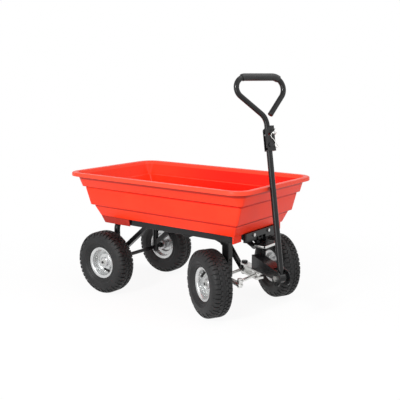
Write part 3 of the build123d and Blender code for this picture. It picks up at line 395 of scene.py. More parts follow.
def close_mesh():
    """Weld the doubles of the mesh in edit mode, turn its faces outwards and go back to object mode."""
    bpy.ops.mesh.select_all(action="SELECT")
    bpy.ops.mesh.remove_doubles(threshold=weld_distance)
    bpy.ops.mesh.normals_make_consistent(inside=False)
    bpy.ops.object.mode_set(mode="OBJECT")


def close_open_ends():
    """Weld the active mesh, fill its open ends with a face each and turn the faces outwards."""
    edit_all()
    bpy.ops.mesh.select_mode(type="EDGE")
    bpy.ops.mesh.remove_doubles(threshold=weld_distance)
    bpy.ops.mesh.select_all(action="DESELECT")
    bpy.ops.mesh.select_non_manifold()
    bpy.ops.mesh.fill_holes(sides=0)
    close_mesh()


# %% Joining and finishing
def join(name, pieces):
    """Join pieces into one that keeps the first one's place."""
    deselect_all()
    for piece in pieces:
        piece.select_set(True)
    bpy.context.view_layer.objects.active = pieces[0]
    bpy.ops.object.join()
    pieces[0].name = pieces[0].data.name = name
    return pieces[0]


def finish_piece(piece, slot, body, crease=35.0):
    """Shade a piece round, but for edges sharper than a crease, and give it its finish and its body."""
    take(piece)
    bpy.ops.object.shade_smooth_by_angle(angle=math.radians(crease))
    piece.data.materials.clear()
    piece.data.materials.append(finishes[slot])
    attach(piece, body)


# %% [markdown]
# ## Tub path
# The real tub is one moulded shell of plastic with three drafted tiers and a small ledge between them, and
# its rim turns over into a lip. A box with inset and extruded faces would give the tiers, but not their
# changing corners. So a path runs up the inside, over the lip and down the outside, with a fine groove
# under each ledge, where the dark line seen there is laid on later as painted shade. Every fold of the
# path is rounded by a short curve.

# %% Tub path
floor_top, low_ledge, high_ledge, rim_top, lip_bottom = 322.0, 370.0, 446.0, 504.0, 489.0
tub_wall, lip_wall = 4.0, 5.0
groove_top, groove_bottom = 3.5, 9.5
fold_steps, fold_share = 4, 0.45
HEIGHT, WIDTH, ROUNDING = 0, 2, 5
# height, length, width, corner radius, middle along the cart, and rounding of the fold, in millimetres
tub_path = [
    (floor_top, 630.0, 303.0, 2.0, -47.13, 0.0),
    (floor_top, 667.0, 340.0, 3.0, -47.13, 9.0),
    (low_ledge, 711.0, 378.0, 7.0, -49.29, 3.0),
    (low_ledge, 729.0, 396.0, 4.0, -49.29, 4.0),
    (high_ledge, 777.0, 408.0, 9.0, -52.71, 3.0),
    (high_ledge, 795.0, 426.0, 12.0, -52.71, 4.0),
    (rim_top, 837.0, 482.0, 46.0, -55.5, 6.0),
    (rim_top, 885.0, 530.0, 70.0, -55.5, 6.0),
    (lip_bottom, 885.0, 530.0, 70.0, -55.5, 1.5),
    (lip_bottom, 877.0, 522.0, 66.0, -55.5, 1.5),
    (rim_top - lip_wall, 875.0, 520.0, 65.0, -55.5, 2.0),
    (rim_top - lip_wall, 841.6, 485.5, 47.0, -55.3, 3.0),
    (high_ledge - tub_wall, 803.0, 434.0, 16.0, -52.71, 3.0),
    (high_ledge - groove_top, 780.0, 411.0, 13.0, -52.71, 2.0),
    (high_ledge - groove_bottom, 782.5, 415.6, 13.0, -52.5, 2.0),
    (low_ledge - tub_wall, 737.0, 404.0, 8.0, -49.29, 3.0),
    (low_ledge - groove_top, 714.0, 381.0, 11.0, -49.29, 2.0),
    (low_ledge - groove_bottom, 715.0, 382.5, 10.0, -49.0, 2.0),
    (floor_top - tub_wall, 675.0, 348.0, 6.0, -47.13, 4.0),
    (floor_top - tub_wall, 655.0, 328.0, 3.0, -47.13, 0.0),
]


def step_towards(row, other, distance):
    """The section that lies so far from one row of the path on the way to another."""
    reach = math.hypot(row[HEIGHT] - other[HEIGHT], (row[WIDTH] - other[WIDTH]) / 2)
    share = min(distance / reach, fold_share)
    return [a + (b - a) * share for a, b in zip(row[:ROUNDING], other[:ROUNDING])]


def round_folds(path):
    """Swap every fold between the two ends of the path for a short curve of sections."""
    sections = [path[0][:ROUNDING]]
    for last, row, following in zip(path, path[1:], path[2:]):
        before, after = [step_towards(row, other, row[ROUNDING]) for other in (last, following)]
        for step in range(fold_steps + 1):
            t = step / fold_steps
            sections.append([(1 - t) ** 2 * a + 2 * t * (1 - t) * v + t * t * b
                             for a, v, b in zip(before, row, after)])
    return sections + [path[-1][:ROUNDING]]


tub_sections = round_folds(tub_path)
print(len(tub_sections), "sections of the tub")

# %% [markdown]
# ## Tub skin
# Each section is a plane whose corners are bevelled round and whose face is taken out, so that a ring of
# edges is left. A loft tool would join the rings, and bridging each one with the next does the same by
# hand. The two holes that stay, in the middle of the floor's upper and lower side, are filled with a face
# each.

# %% Tub skin
corner_steps = 8


def rounded_loop(height, length, width, corner, middle):
    """A rounded rectangle of edges only."""
    deselect_all()
    bpy.ops.mesh.primitive_plane_add(size=1, location=(middle * MM, 0, height * MM))
    loop = bpy.context.object
    loop.scale = (length * MM, width * MM, 1)
    bpy.ops.object.transform_apply(location=True, rotation=True, scale=True)
    edit_all()
    bpy.ops.mesh.bevel(offset=corner * MM, segments=corner_steps, affect="VERTICES")
    bpy.ops.mesh.select_all(action="SELECT")
    bpy.ops.mesh.delete(type="ONLY_FACE")
    bpy.ops.object.mode_set(mode="OBJECT")
    return loop


def bridge(first, second):
    """A strip of faces between two rings of edges."""
    strip = join("strip", [first, second])
    edit_all()
    bpy.ops.mesh.bridge_edge_loops()
    bpy.ops.object.mode_set(mode="OBJECT")
    return strip


strips = []
for row, following in zip(tub_sections, tub_sections[1:]):
    strips.append(bridge(rounded_loop(*row), rounded_loop(*following)))
tub = join("tub_moulding", strips)
close_open_ends()
finish_piece(tub, "tub_plastic", "tub", crease=40)
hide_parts("tub")
print("tub", len(tub.data.polygons), "faces")

# %% [markdown]
# ## Painted shade and highlight on the tub
# Little light gets into the grooves under the ledges and under the turned-down lip, so those lines look
# dark; they are painted shade. The walls inside are painted deeper red towards the front, as shade where
# less light reaches, and the lip is painted a little paler, as a highlight on its round edge. Darker lamps
# would show this too, but would dull the whole cart. So masks from a point's height, and from the way that
# the surface faces there, mix this painted shade and highlight into the tub's colour.

# %% Tub's painted shade and highlight
# colours of painted shade for the lines and the inner walls, and of a painted highlight for the lip
line_shade_red, inner_shade_red, lip_highlight_red = (0.30, 0.010, 0.005), (0.92, 0.012, 0.003), (0.94, 0.066, 0.030)
line_strength, line_soft, groove_spill = 0.8, 2.5, 0.3
lip_shadow, lip_dark, lip_margin, lip_edge, lip_fade = 471.0, 480.0, 0.2, 0.6, 1.2
lip_low = lip_bottom + lip_margin
# how far up a normal points on an outer wall, on an inner wall and on the floor
faces_out, faces_in, wall_most, floor_least = 0.02, 0.06, 0.7, 0.9
# where along the cart the painted shade inside begins and where it is strongest
inner_shade_start, inner_shade_full = -450.0, 50.0
tub_tree = finishes["tub_plastic"].node_tree
tub_place, facing_up = axes_of(tub_tree, "Object"), axes_of(tub_tree, "Normal")["Z"]


def between(value, start, full):
    """A mask on the tub that rises from start to full, in millimetres; start may be the larger one."""
    return rise(tub_tree, value, start * MM, full * MM)


def combine(operation, first, second):
    """Two masks of the tub, or a mask and a number, put through one operation."""
    both = tub_tree.nodes.new("ShaderNodeMath")
    both.operation = operation
    tub_tree.links.new(first, both.inputs[0])
    if isinstance(second, float):
        both.inputs[1].default_value = second
    else:
        tub_tree.links.new(second, both.inputs[1])
    return both.outputs["Value"]


height = tub_place["Z"]
lines = combine("MULTIPLY", between(height, lip_shadow, lip_dark),
                between(height, lip_low + lip_edge, lip_low))
for ledge in (high_ledge, low_ledge):
    low, high = ledge - groove_bottom - groove_spill, ledge - groove_top + groove_spill
    band = combine("MULTIPLY", between(height, low - line_soft, low),
                   between(height, high + line_soft, high))
    lines = combine("MAXIMUM", lines, band)
outer_lines = combine("MULTIPLY", lines, rise(tub_tree, facing_up, faces_in, faces_out))
inner_wall = combine("MULTIPLY", rise(tub_tree, facing_up, faces_out, faces_in),
                     rise(tub_tree, facing_up, floor_least, wall_most))
# painted shade: deeper red on the inner walls towards the front
mix_in(tub_tree, inner_shade_red, combine("MULTIPLY", inner_wall, between(tub_place["X"], inner_shade_start, inner_shade_full)))
# painted highlight: a paler lip
mix_in(tub_tree, lip_highlight_red, between(height, lip_low, lip_low + lip_fade))
# painted shade: dark lines under the lip and in the grooves under the ledges, on the outside
mix_in(tub_tree, line_shade_red, combine("MULTIPLY", outer_lines, line_strength))
print("tub", len(tub_tree.nodes), "shader nodes")

# %% [markdown]
# ## Wheel places
# Four wheels are alike, so everything on them is modelled once, lying with its axle upright, and copied
# to four places. Mirroring the right side would turn the copies inside out. A matrix for each wheel
# stands it up instead. The front pair is turned to the right, as it stands in the photograph, and front
# and rear wheels have their valves at different clock positions.

# %% Wheel places
steer_turn = math.radians(-27.5)
ahead = Vector((math.cos(steer_turn), math.sin(steer_turn), 0))
left = Vector((-math.sin(steer_turn), math.cos(steer_turn), 0))
up = Vector((0, 0, 1))
tyre_radius = 130.0
rear_axle_x, rear_half_track = -340.5, 196.0
kingpin_x, kingpin_y, kingpin_offset = 224.5, 120.5, 75.5
rear_valve, front_valve = math.radians(-50.0), math.radians(107.0)


def wheel_matrix(centre, axis, towards_valve):
    """Stand a lying wheel up: Z becomes the axle and X points at the valve; centre in millimetres."""
    place = Matrix((towards_valve, axis.cross(towards_valve), axis)).transposed().to_4x4()
    place.translation = Vector(centre) * MM
    return place


wheel_places = {}
for name, side in (("left", 1), ("right", -1)):
    stub_centre = Vector((kingpin_x, side * kingpin_y, tyre_radius)) + left * side * kingpin_offset
    valve_up = ahead * math.cos(front_valve) + up * math.sin(front_valve)
    wheel_places[f"front_{name}"] = wheel_matrix(stub_centre, left * side, valve_up)
    hub_centre = Vector((rear_axle_x, side * rear_half_track, tyre_radius))
    valve_down = Vector((math.cos(rear_valve), 0, math.sin(rear_valve)))
    wheel_places[f"rear_{name}"] = wheel_matrix(hub_centre, Vector((0, side, 0)), valve_down)
print(sorted(wheel_places))

# %% [markdown]
# ## Lathe and copies
# Tyre, rim, hub, bolt and valve are all round. A cylinder could be scaled ring by ring, but a profile
# says more plainly what a turner would cut: one vertex is extruded along the profile, and the profile is
# spun round the axle. Each copy gets its own mesh, and the place goes into the mesh, so that its object
# stays at the origin.

# %% Lathe
def trace_profile(name, points):
    """An open line through points, drawn by extruding one vertex; it is left in edit mode, all selected."""
    deselect_all()
    bpy.ops.mesh.primitive_plane_add(size=MM)
    line = bpy.context.object
    line.name = line.data.name = name
    edit_all()
    bpy.ops.mesh.select_mode(type="VERT")
    bpy.ops.mesh.merge(type="CENTER")
    bpy.ops.transform.translate(value=points[0])
    for start, end in zip(points, points[1:]):
        bpy.ops.mesh.extrude_region_move(TRANSFORM_OT_translate={"value": Vector(end) - Vector(start)})
    bpy.ops.mesh.select_all(action="SELECT")
    return line


def lathe(name, profile, steps, angle=360.0):
    """Spin a profile of (radius, height) pairs in millimetres round Z; a part turn gets closed ends."""
    piece = trace_profile(name, [(radius * MM, 0, height * MM) for radius, height in profile])
    bpy.ops.mesh.spin(steps=steps, angle=math.radians(angle), center=(0, 0, 0), axis=(0, 0, 1))
    if angle < 360.0:
        close_open_ends()
    else:
        close_mesh()
    return piece


def ring(outline):
    """An outline that returns to its first point."""
    return outline + outline[:1]


def mirrored(profile):
    """Add the other half of a profile that ends on the wheel's middle plane."""
    return profile + [(radius, -height) for radius, height in reversed(profile) if height]


# %% Copies
def copy_at(piece, name, place):
    """A copy of a piece with its own mesh, moved by a matrix that goes into the mesh."""
    double = piece.copy()
    double.data = piece.data.copy()
    double.name = double.data.name = name
    scene.collection.objects.link(double)
    double.data.transform(place)
    return double


def remove(piece):
    """Delete a piece that only served as a pattern for copies."""
    take(piece)
    bpy.ops.object.delete()


def set_on_wheels(pattern, kind, slot, crease, instead=True):
    """Copy a lying pattern to the four wheels, give it a finish, and take away the pattern."""
    print(kind, len(pattern.data.polygons), "faces on each wheel")
    for name, place in wheel_places.items():
        copy = copy_at(pattern, f"{kind}_{name}_visual", place)
        finish_piece(copy, slot, f"wheel_{name}", crease)
        if instead:
            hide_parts(f"{kind}_{name}")
    remove(pattern)


# %% [markdown]
# ## Tyre casing
# A small pneumatic tyre is a hollow rubber casing that is open towards the rim, with two raised rings on
# its side. A torus would be the quick way, but its side is too round. The casing's own section, outside
# and inside, is turned on the lathe.

# %% Tyre casing
# radius and distance from the wheel's middle plane, in millimetres, as in all profiles of the wheel
casing_outside = [(56.3, 14), (56.3, 23.6), (65.7, 25.7), (65.7, 29.2), (66.8, 31), (69, 32.6), (72, 33.6),
                  (74, 35.4), (76, 35.6), (77.5, 34.9), (82, 38.2), (86, 40.2), (88, 41.3), (90, 41.3),
                  (92, 40.8), (97, 41.4), (102, 41.2), (107, 40.2), (112, 38.2), (117, 35), (121, 30.6),
                  (124, 24.6), (125.8, 17), (126.8, 9), (127, 0)]
casing_inside = [(121, 0), (120, 18), (114, 26), (97, 34), (80, 30.5), (65.7, 20.5), (60.3, 14)]
far_inside = [(radius, -height) for radius, height in reversed(casing_inside) if height]
tyre = lathe("tyre_pattern", ring(mirrored(casing_outside) + far_inside + casing_inside), steps=84)
print("casing", len(tyre.data.polygons), "faces")

# %% [markdown]
# ## Tread blocks
# Low rubber blocks are moulded on the casing. The shoulder has long and short blocks in turn, the two
# sides half a step apart, and two rows of slanted blocks fill the middle of the tread. A bump could fake
# them, but the tyre's outline would stay smooth. A block is a short piece of lathe work with its sharp
# edges taken off, modelled once and copied round the tyre.

# %% Tread blocks
blocks_round = 44
pitch = math.radians(360 / blocks_round)
block_turn, block_edge, block_edge_angle = 6.0, 0.5, 50.0
block_top = [(125.4, 15), (129.0, 15.2), (129.8, 16.4), (129.4, 23.5), (127.5, 29.6), (123.6, 34.3)]
block_foot = [(121.5, 27.5), (124.6, 18)]
long_shoulder = block_top + [(118.2, 37.2), (113, 39.8), (110, 41.3), (108.5, 39), (116, 34)] + block_foot
short_shoulder = block_top + [(120.6, 35.8), (119.4, 34.4)] + block_foot
middle_outline = [(125.8, 1.4), (129.3, 1.6), (129.9, 2.4), (129.9, 10.2), (129.3, 11), (125.8, 11.2)]
middle_height, middle_slant = 6.3, math.radians(16)


def soften(piece, width, degrees=40.0, segments=2):
    """Bevel the edges of a piece that are sharper than an angle; the width is in millimetres."""
    take(piece)
    edges = piece.modifiers.new("edges", "BEVEL")
    edges.width = width * MM
    edges.segments = segments
    edges.limit_method = "ANGLE"
    edges.angle_limit = math.radians(degrees)
    bpy.ops.object.modifier_apply(modifier="edges")


def tread_block(name, outline):
    """One block of the tread, spun a few degrees about the axle, with its sharp edges taken off."""
    block = lathe(name, ring(outline), steps=1, angle=block_turn)
    block.data.transform(Matrix.Rotation(-math.radians(block_turn) / 2, 4, "Z"))
    soften(block, block_edge, block_edge_angle, segments=1)
    return block


shoulders = [tread_block("long_block", long_shoulder), tread_block("short_block", short_shoulder)]
middle = tread_block("middle_block", middle_outline)
take(middle)
edit_all()
bpy.ops.transform.rotate(value=middle_slant, orient_axis="X", orient_type="GLOBAL",
                         center_override=(tyre_radius * MM, 0, middle_height * MM))
bpy.ops.object.mode_set(mode="OBJECT")
print("blocks", [len(block.data.polygons) for block in shoulders + [middle]], "faces")

# %% Tyres
other_side = Matrix.Rotation(math.pi, 4, "X")
tread = [tyre]
for number in range(blocks_round):
    near_turn = Matrix.Rotation(number * pitch, 4, "Z")
    far_turn = Matrix.Rotation((number + 0.5) * pitch, 4, "Z")
    shoulder = shoulders[number % 2]
    tread.append(copy_at(shoulder, "block", near_turn))
    tread.append(copy_at(shoulder, "block", far_turn @ other_side))
    tread.append(copy_at(middle, "block", far_turn))
    tread.append(copy_at(middle, "block", near_turn @ other_side))
for pattern in shoulders + [middle]:
    remove(pattern)
set_on_wheels(join("tyre_pattern", tread), "tyre", "tyre_rubber", crease=32)

# %% [markdown]
# ## Rims and hubs
# The rim is pressed from sheet steel: flange, bead seat, a deep dish, and a disc that climbs to a ring
# round the hub. It could be a disc with inset and extruded rings. One closed profile, turned on the
# lathe, has all of these and its back as well. The hub is a plain turned sleeve.

# %% Rims and hubs
rim_front = [(65.4, 26.2), (65.2, 28), (63.5, 28.5), (60, 27.4), (56.5, 26.2), (54, 24.6), (52.6, 21.5),
             (51.6, 17), (51.2, 9), (50.8, 2.4), (49.2, -1.2), (46, -2), (41, -2), (39, -1.4), (37.2, 0.6),
             (35.5, 3.6), (33.6, 5.6), (31, 6.2), (27, 6.2), (25.5, 5.4), (23.5, 5.4), (22, 6.4),
             (20.05, 6.4)]
rim_back = [(20.05, 3.2), (31, 3.2), (37, -5), (48, -5), (50.5, -6.5), (51, -9), (51, -17), (52.6, -21.5),
            (54, -24.6), (60, -27.4), (63.5, -28.5), (65.2, -28), (65.4, -26.2), (56, -24), (54, -17),
            (54, 17), (56, 24)]
rim = lathe("rim_pattern", ring(rim_front + rim_back), steps=80)
set_on_wheels(rim, "rim", "rim_steel", crease=40)

hub_outline = [(10, 12.5), (17.6, 12.5), (19.2, 11.6), (20, 10), (20, -31.4), (18.4, -33), (8.05, -33),
               (8.05, 11), (10, 11)]
hub = lathe("hub_pattern", ring(hub_outline), steps=48)
set_on_wheels(hub, "hub", "hub_steel", crease=40)

# %% [markdown]
# ## Wheel bolts
# Four small bolts sit at the bottom of the dish and hold the halves of the rim together. A round head
# with a collar is turned once and copied round the wheel, and the same bolt serves again on the legs and
# in the tub.

# %% Wheel bolts
disc_height, bolt_circle, bolt_count = -2.0, 43.6, 4
bolt_profile = [(0, 4.6), (2.6, 4.4), (3.6, 3.6), (4.0, 2.2), (4.0, 1.2), (5.6, 1.0), (5.8, 0.0), (0, 0)]
bolt = lathe("wheel_bolt", bolt_profile, steps=12)
bolts = []
for number in range(bolt_count):
    around = Matrix.Rotation((number + 0.5) * 2 * math.pi / bolt_count, 4, "Z")
    bolts.append(copy_at(bolt, "bolt", around @ Matrix.Translation((bolt_circle * MM, 0, disc_height * MM))))
set_on_wheels(join("wheel_bolts", bolts), "wheel_bolts", "zinc_steel", crease=30, instead=False)

# %% [markdown]
# ## Valves
# A rubber valve grows out of the rim's barrel, bends at an elbow and points outwards, with a cap on its
# end. A tube along a bent curve would have one thickness all the way. So the foot and the stem are turned
# apart, and a boolean union makes one skin of them.

# %% Valves
valve_elbow, valve_lean, barrel_radius = Vector((44.0, 0, 13.0)), math.radians(45), 51.4
stem_profile = [(0, -4.6), (3.4, -4.2), (4.9, -1.2), (4.9, 3), (4.5, 4.2), (4.5, 12), (3.4, 12.8),
                (3.4, 13.8), (4.3, 14.2), (4.5, 15), (4.5, 21.4), (3.7, 23.2), (0, 23.8)]
foot_profile = [(0, 0), (6.8, 0), (6.6, 1), (5.4, 2.4), (4.8, 4.4), (4.6, 7.8), (0, 8)]


def weld(piece):
    """Weld the doubles of a piece and turn its faces outwards."""
    take(piece)
    bpy.ops.object.mode_set(mode="EDIT")
    close_mesh()


valve = lathe("valve_pattern", stem_profile, steps=20)
valve.data.transform(Matrix.Translation(valve_elbow * MM) @ Matrix.Rotation(-valve_lean, 4, "Y"))
foot = lathe("valve_foot", foot_profile, steps=20)
foot_place = Matrix.Translation((barrel_radius * MM, 0, valve_elbow.z * MM))
foot.data.transform(foot_place @ Matrix.Rotation(-math.pi / 2, 4, "Y"))
take(valve)
union = valve.modifiers.new("union", "BOOLEAN")
union.operation = "UNION"
union.object = foot
bpy.ops.object.modifier_apply(modifier="union")
remove(foot)
weld(valve)
set_on_wheels(valve, "valve", "valve_rubber", crease=40)

# %% [markdown]
# ## Nuts and axle ends
# In front of each hub come a washer, a nut and the dark threaded end of the axle. A nut could be turned
# with six steps, but its top would be a pyramid. It is a six-sided cylinder whose upper edges, chosen by
# their height, are bevelled. Washer and axle end are turned.

# %% Nuts and axle ends
washer_outline = [(7, 12.6), (13.6, 12.6), (14, 13), (14, 13.8), (13.6, 14.2), (7, 14.2)]
nut_radius, nut_low, nut_high, nut_bevel, nut_crease = 10.2, 14.2, 19.6, 1.1, 25.0
top_margin = 0.1
tip_profile = [(0, 10), (7.6, 10), (7.6, 12), (5.8, 13), (5.8, 20.8), (4.8, 21.8), (0, 21.8)]
deselect_all()
bpy.ops.mesh.primitive_cylinder_add(vertices=6, radius=nut_radius * MM, depth=(nut_high - nut_low) * MM,
                                    location=(0, 0, (nut_high + nut_low) / 2 * MM))
nut = bpy.context.object
bpy.ops.object.transform_apply(location=True, rotation=True, scale=True)
bpy.ops.object.mode_set(mode="EDIT")
bpy.ops.mesh.select_all(action="DESELECT")
skin = bmesh.from_edit_mesh(nut.data)
for edge in skin.edges:
    edge.select_set(all(corner.co.z > (nut_high - top_margin) * MM for corner in edge.verts))
bmesh.update_edit_mesh(nut.data)
bpy.ops.mesh.bevel(offset=nut_bevel * MM, segments=2, affect="EDGES")
bpy.ops.object.mode_set(mode="OBJECT")
nut = join("nut_pattern", [nut, lathe("washer", ring(washer_outline), steps=32)])
tip = lathe("axle_tip", tip_profile, steps=20)
print("nut and washer", len(nut.data.polygons), "faces; axle end", len(tip.data.polygons), "faces")

# %% Nuts on the axles
for name, place in wheel_places.items():
    side = name.split("_")[1]
    carrier = f"knuckle_{side}" if name.startswith("front") else "chassis"
    end = copy_at(tip, f"axle_tip_{name}_visual", place)
    finish_piece(end, "dark_fastener", carrier)
    if name.startswith("front"):
        stub_nut = copy_at(nut, f"stub_nut_{side}_visual", place)
        finish_piece(stub_nut, "zinc_steel", carrier, nut_crease)
        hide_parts(f"stub_nut_{side}")
rear_nuts = join("rear_axle_nuts_visual", [copy_at(nut, "rear_nut", wheel_places[f"rear_{side}"])
                                           for side in ("left", "right")])
finish_piece(rear_nuts, "zinc_steel", "chassis", nut_crease)
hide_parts("rear_axle_nuts")
remove(nut)
remove(tip)
print("nuts and ends on", len(wheel_places), "wheels")

# %% [markdown]
# ## Rear axle
# A plain round bar carries both rear wheels, with a collar inside each. Bar and collars could be separate
# cylinders, but one profile, turned from the middle to both ends, leaves no hidden faces.

# %% Rear axle
axle_half = [(0, 207), (8, 207), (8, 162.6), (11.6, 162.6), (12, 162.2), (12, 155.1), (11.6, 154.7),
             (8, 154.7), (8, 0)]
axle = lathe("rear_axle_visual", mirrored(axle_half), steps=28)
axle_centre = Matrix.Translation((rear_axle_x * MM, 0, tyre_radius * MM))
axle.data.transform(axle_centre @ Matrix.Rotation(math.pi / 2, 4, "X"))
finish_piece(axle, "black_steel", "chassis")
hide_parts("rear_axle")
print("rear axle", len(axle.data.polygons), "faces")

# %% [markdown]
# ## Knuckles
# A knuckle is a sleeve for the kingpin, a flat arm for the tie rod, and the stub that the wheel turns on.
# The arm could be a stretched cube, but its end is round. So its outline is drawn, filled and extruded,
# and its edges are softened. Left and right are alike, and each is turned with its wheel.

# %% Knuckles
def flat_bar(name, outline, low, high):
    """A plate with an outline of (x, y) points in millimetres, filled and extruded from low to high."""
    plate = trace_profile(name, [(x * MM, y * MM, low * MM) for x, y in ring(outline)])
    bpy.ops.mesh.remove_doubles(threshold=weld_distance)
    bpy.ops.mesh.edge_face_add()
    bpy.ops.mesh.extrude_region_move(TRANSFORM_OT_translate={"value": (0, 0, (high - low) * MM)})
    close_mesh()
    return plate


arm_start, arm_reach, arm_half, arm_low, arm_high, arm_edge = 6.0, 100.0, 12.0, 137.4, 145.4, 0.8
arc_steps = 10
arc_angles = [math.pi * step / arc_steps for step in range(arc_steps + 1)]
arm_end = [(arm_reach + arm_half * math.sin(t), -arm_half * math.cos(t)) for t in arc_angles]
sleeve_outline = [(7.2, 108), (15.2, 108), (16, 108.8), (16, 144.6), (15.2, 145.4), (7.2, 145.4)]
stub_profile = [(0, -62), (8, -62), (8, -41.5), (11.6, -41.5), (12, -41.1), (12, -33.8), (11.6, -33.4),
                (8, -33.4), (8, 11), (0, 11)]
arm = flat_bar("arm", [(arm_start, -arm_half)] + arm_end + [(arm_start, arm_half)], arm_low, arm_high)
soften(arm, arm_edge)
sleeve = lathe("sleeve", ring(sleeve_outline), steps=36)
stub = lathe("stub", stub_profile, steps=28)
for side, y in (("left", kingpin_y), ("right", -kingpin_y)):
    turned = Matrix.Translation((kingpin_x * MM, y * MM, 0)) @ Matrix.Rotation(steer_turn, 4, "Z")
    knuckle = join(f"knuckle_{side}_visual", [copy_at(sleeve, "sleeve", turned), copy_at(arm, "arm", turned),
                                              copy_at(stub, "stub", wheel_places[f"front_{side}"])])
    finish_piece(knuckle, "zinc_steel", f"knuckle_{side}")
    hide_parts(f"knuckle_{side}")
    print(knuckle.name, len(knuckle.data.polygons), "faces")
for pattern in (arm, sleeve, stub):
    remove(pattern)

# %% [markdown]
# ## Tie rods
# Each rod has an eye on the swivel's bolt and an eye on the knuckle's bolt. A plain bar would run into
# the other rod's eye and the swivel's plates, so the rod is turned with a thinner neck at both ends,
# where it meets the eyes. The two rods lie one above the other on the swivel.

# %% Tie rods
swivel_joint = Vector((kingpin_x, 0, 0)) + ahead * arm_reach
left_rod_height, right_rod_height = 165.4, 155.0
rod_profile = [(0, 9), (4.5, 9), (4.5, 16), (5.8, 19), (5.8, 101.5), (4.5, 104.5), (4.5, 111.5), (0, 111.5)]
eye_outline = [(5.3, -5), (10.2, -5), (11, -4.2), (11, 4.2), (10.2, 5), (5.3, 5)]
rod = lathe("rod_pattern", rod_profile, steps=20)
eye = lathe("eye_pattern", ring(eye_outline), steps=28)
for side, sign, rod_height in (("left", 1, left_rod_height), ("right", -1, right_rod_height)):
    start = Matrix.Translation(Vector((swivel_joint.x, swivel_joint.y, rod_height)) * MM)
    end = Matrix.Translation((0, sign * kingpin_y * MM, 0)) @ start
    sideways = start @ Matrix.Rotation(-sign * math.pi / 2, 4, "X")
    tie_rod = join(f"tie_rod_{side}_visual", [copy_at(rod, "rod", sideways), copy_at(eye, "eye", start),
                                              copy_at(eye, "eye", end)])
    finish_piece(tie_rod, "zinc_steel", f"tie_rod_{side}")
    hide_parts(f"tie_rod_{side}")
    print(tie_rod.name, len(tie_rod.data.polygons), "faces")
remove(rod)
remove(eye)

# %% [markdown]
# ## Pedal edge
# The latch's pedal is a black plate whose rim is edged with a bright strip. A lighter colour on the
# plate's edge would do from far away, but the strip stands a little proud. A line is drawn round three
# sides of the pedal, raised to a band, given its thickness by Solidify and softened by a bevel.

# %% Pedal edge
pedal_front, pedal_side, pedal_start, corner_cut = 346.3, 50.8, 300.0, 6.0
strip_low, strip_high, strip_sheet, strip_edge = 258.6, 268.2, 1.4, 0.4
near_side = [(pedal_start, -pedal_side), (pedal_front - corner_cut, -pedal_side),
             (pedal_front, corner_cut - pedal_side)]
far_side = [(x, -y) for x, y in reversed(near_side)]
strip = trace_profile("pedal_edge", [(x * MM, y * MM, strip_low * MM) for x, y in near_side + far_side])
bpy.ops.mesh.extrude_region_move(TRANSFORM_OT_translate={"value": (0, 0, (strip_high - strip_low) * MM)})
bpy.ops.object.mode_set(mode="OBJECT")
wall = strip.modifiers.new("wall", "SOLIDIFY")
wall.thickness = strip_sheet * MM
wall.offset = 0
bpy.ops.object.modifier_apply(modifier="wall")
weld(strip)
soften(strip, strip_edge)
finish_piece(strip, "zinc_steel", "latch", crease=30)
print("pedal edge", len(strip.data.polygons), "faces")

# %% [markdown]
# ## Clip wire
# The spring clip's other leg is a thin bright wire that waves down the front of the hitch bracket and
# ends in a three-cornered finger loop. Short cylinders would kink at every joint. A line drawn from point
# to point becomes a curve with automatic handles, so that it runs smoothly, gets its thickness from the
# curve's bevel and is made a mesh again. The bolt beside it, on which the grip folds, is shown dark, as
# in the photograph.

# %% Clip wire
shaft_lean, drawbar_length, pivot_height = math.radians(12.3), 268.0, 185.0
shaft_up = up * math.cos(shaft_lean) - ahead * math.sin(shaft_lean)
shaft_front = ahead * math.cos(shaft_lean) + up * math.sin(shaft_lean)
handle_pivot = Vector((kingpin_x, 0, pivot_height)) + ahead * drawbar_length
wire_radius, wire_ahead, wire_round, wire_steps = 1.5, 17.0, 3, 6
# how far to the left of the shaft's middle, and how far up the shaft
wire_path = [(13.8, 523), (7, 518), (2.5, 510), (5, 502), (11.5, 497), (17, 488), (24, 478), (27.5, 468),
             (19, 468.5), (16.5, 476), (18.5, 486)]
wire_plane = handle_pivot + shaft_front * wire_ahead
wire = trace_profile("clip_wire", [(wire_plane + left * aside + shaft_up * along) * MM
                                   for aside, along in wire_path])
bpy.ops.object.mode_set(mode="OBJECT")
bpy.ops.object.convert(target="CURVE")
bpy.ops.object.mode_set(mode="EDIT")
bpy.ops.curve.select_all(action="SELECT")
bpy.ops.curve.spline_type_set(type="BEZIER")
bpy.ops.curve.handle_type_set(type="AUTOMATIC")
bpy.ops.object.mode_set(mode="OBJECT")
wire = bpy.context.object
wire.data.bevel_depth = wire_radius * MM
wire.data.bevel_resolution = wire_round
wire.data.resolution_u = wire_steps
wire.data.use_fill_caps = True
bpy.ops.object.convert(target="MESH")
wire = bpy.context.object
weld(wire)
finish_piece(wire, "zinc_steel", "clip")
nodes["fold_bolt"].data.materials[0] = finishes["dark_fastener"]
print("clip wire", len(wire.data.polygons), "faces")

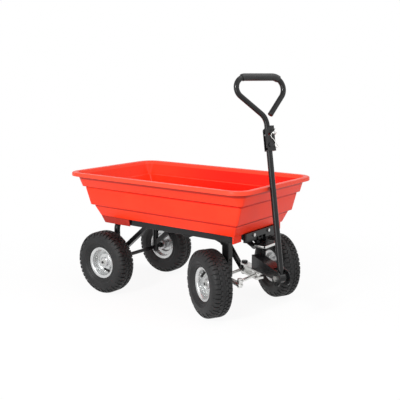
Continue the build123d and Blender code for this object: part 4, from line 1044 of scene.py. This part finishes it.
# %% [markdown]
# ## Leg plates
# A plate stiffens the top of each front leg where it meets the rail. Its outline has a slanted side, so
# it is drawn, filled and extruded as the knuckle's arm was, then stood upright. The other side's plate is
# a copy.

# %% Leg plates
plate_outline = [(162, 292.6), (238, 292.6), (238, 272), (211, 272), (205, 279)]
plate_inside, plate_outside, plate_edge = 135.4, 141.0, 0.8
right_plate = flat_bar("leg_plate_right", plate_outline, plate_inside, plate_outside)
right_plate.data.transform(Matrix.Rotation(math.pi / 2, 4, "X"))
soften(right_plate, plate_edge)
to_the_left = Matrix.Translation((0, (plate_inside + plate_outside) * MM, 0))
for plate in (right_plate, copy_at(right_plate, "leg_plate_left", to_the_left)):
    finish_piece(plate, "black_steel", "chassis", crease=30)
    print(plate.name, len(plate.data.polygons), "faces")

# %% [markdown]
# ## Leg and floor bolts
# A dark bolt sits on the front of each leg, and four bright ones hold the hinge straps through the tub's
# floor. They could be modelled anew, but their heads are like those on the wheels, so the wheel's bolt is
# copied again.

# %% Leg bolts
leg_front, leg_bolt_height, bolt_crease = 239.5, 214.0, 30.0
for side, y in (("left", kingpin_y), ("right", -kingpin_y)):
    leg_face = Matrix.Translation((leg_front * MM, y * MM, leg_bolt_height * MM))
    leg_bolt = copy_at(bolt, f"leg_bolt_{side}", leg_face @ Matrix.Rotation(math.pi / 2, 4, "Y"))
    finish_piece(leg_bolt, "dark_fastener", "chassis", bolt_crease)
    print(leg_bolt.name, len(leg_bolt.data.polygons), "faces")

# %% Floor bolts
strap_y, strap_bolt_reach = 55.0, 26.0
floor_bolts = []
for y in (strap_y, -strap_y):
    for reach in (strap_bolt_reach, -strap_bolt_reach):
        place = Matrix.Translation(((rear_axle_x + reach) * MM, y * MM, floor_top * MM))
        floor_bolts.append(copy_at(bolt, "floor_bolt", place))
remove(bolt)
floor_bolts = join("floor_bolts", floor_bolts)
finish_piece(floor_bolts, "zinc_steel", "tub", bolt_crease)
print("floor bolts", len(floor_bolts.data.polygons), "faces")
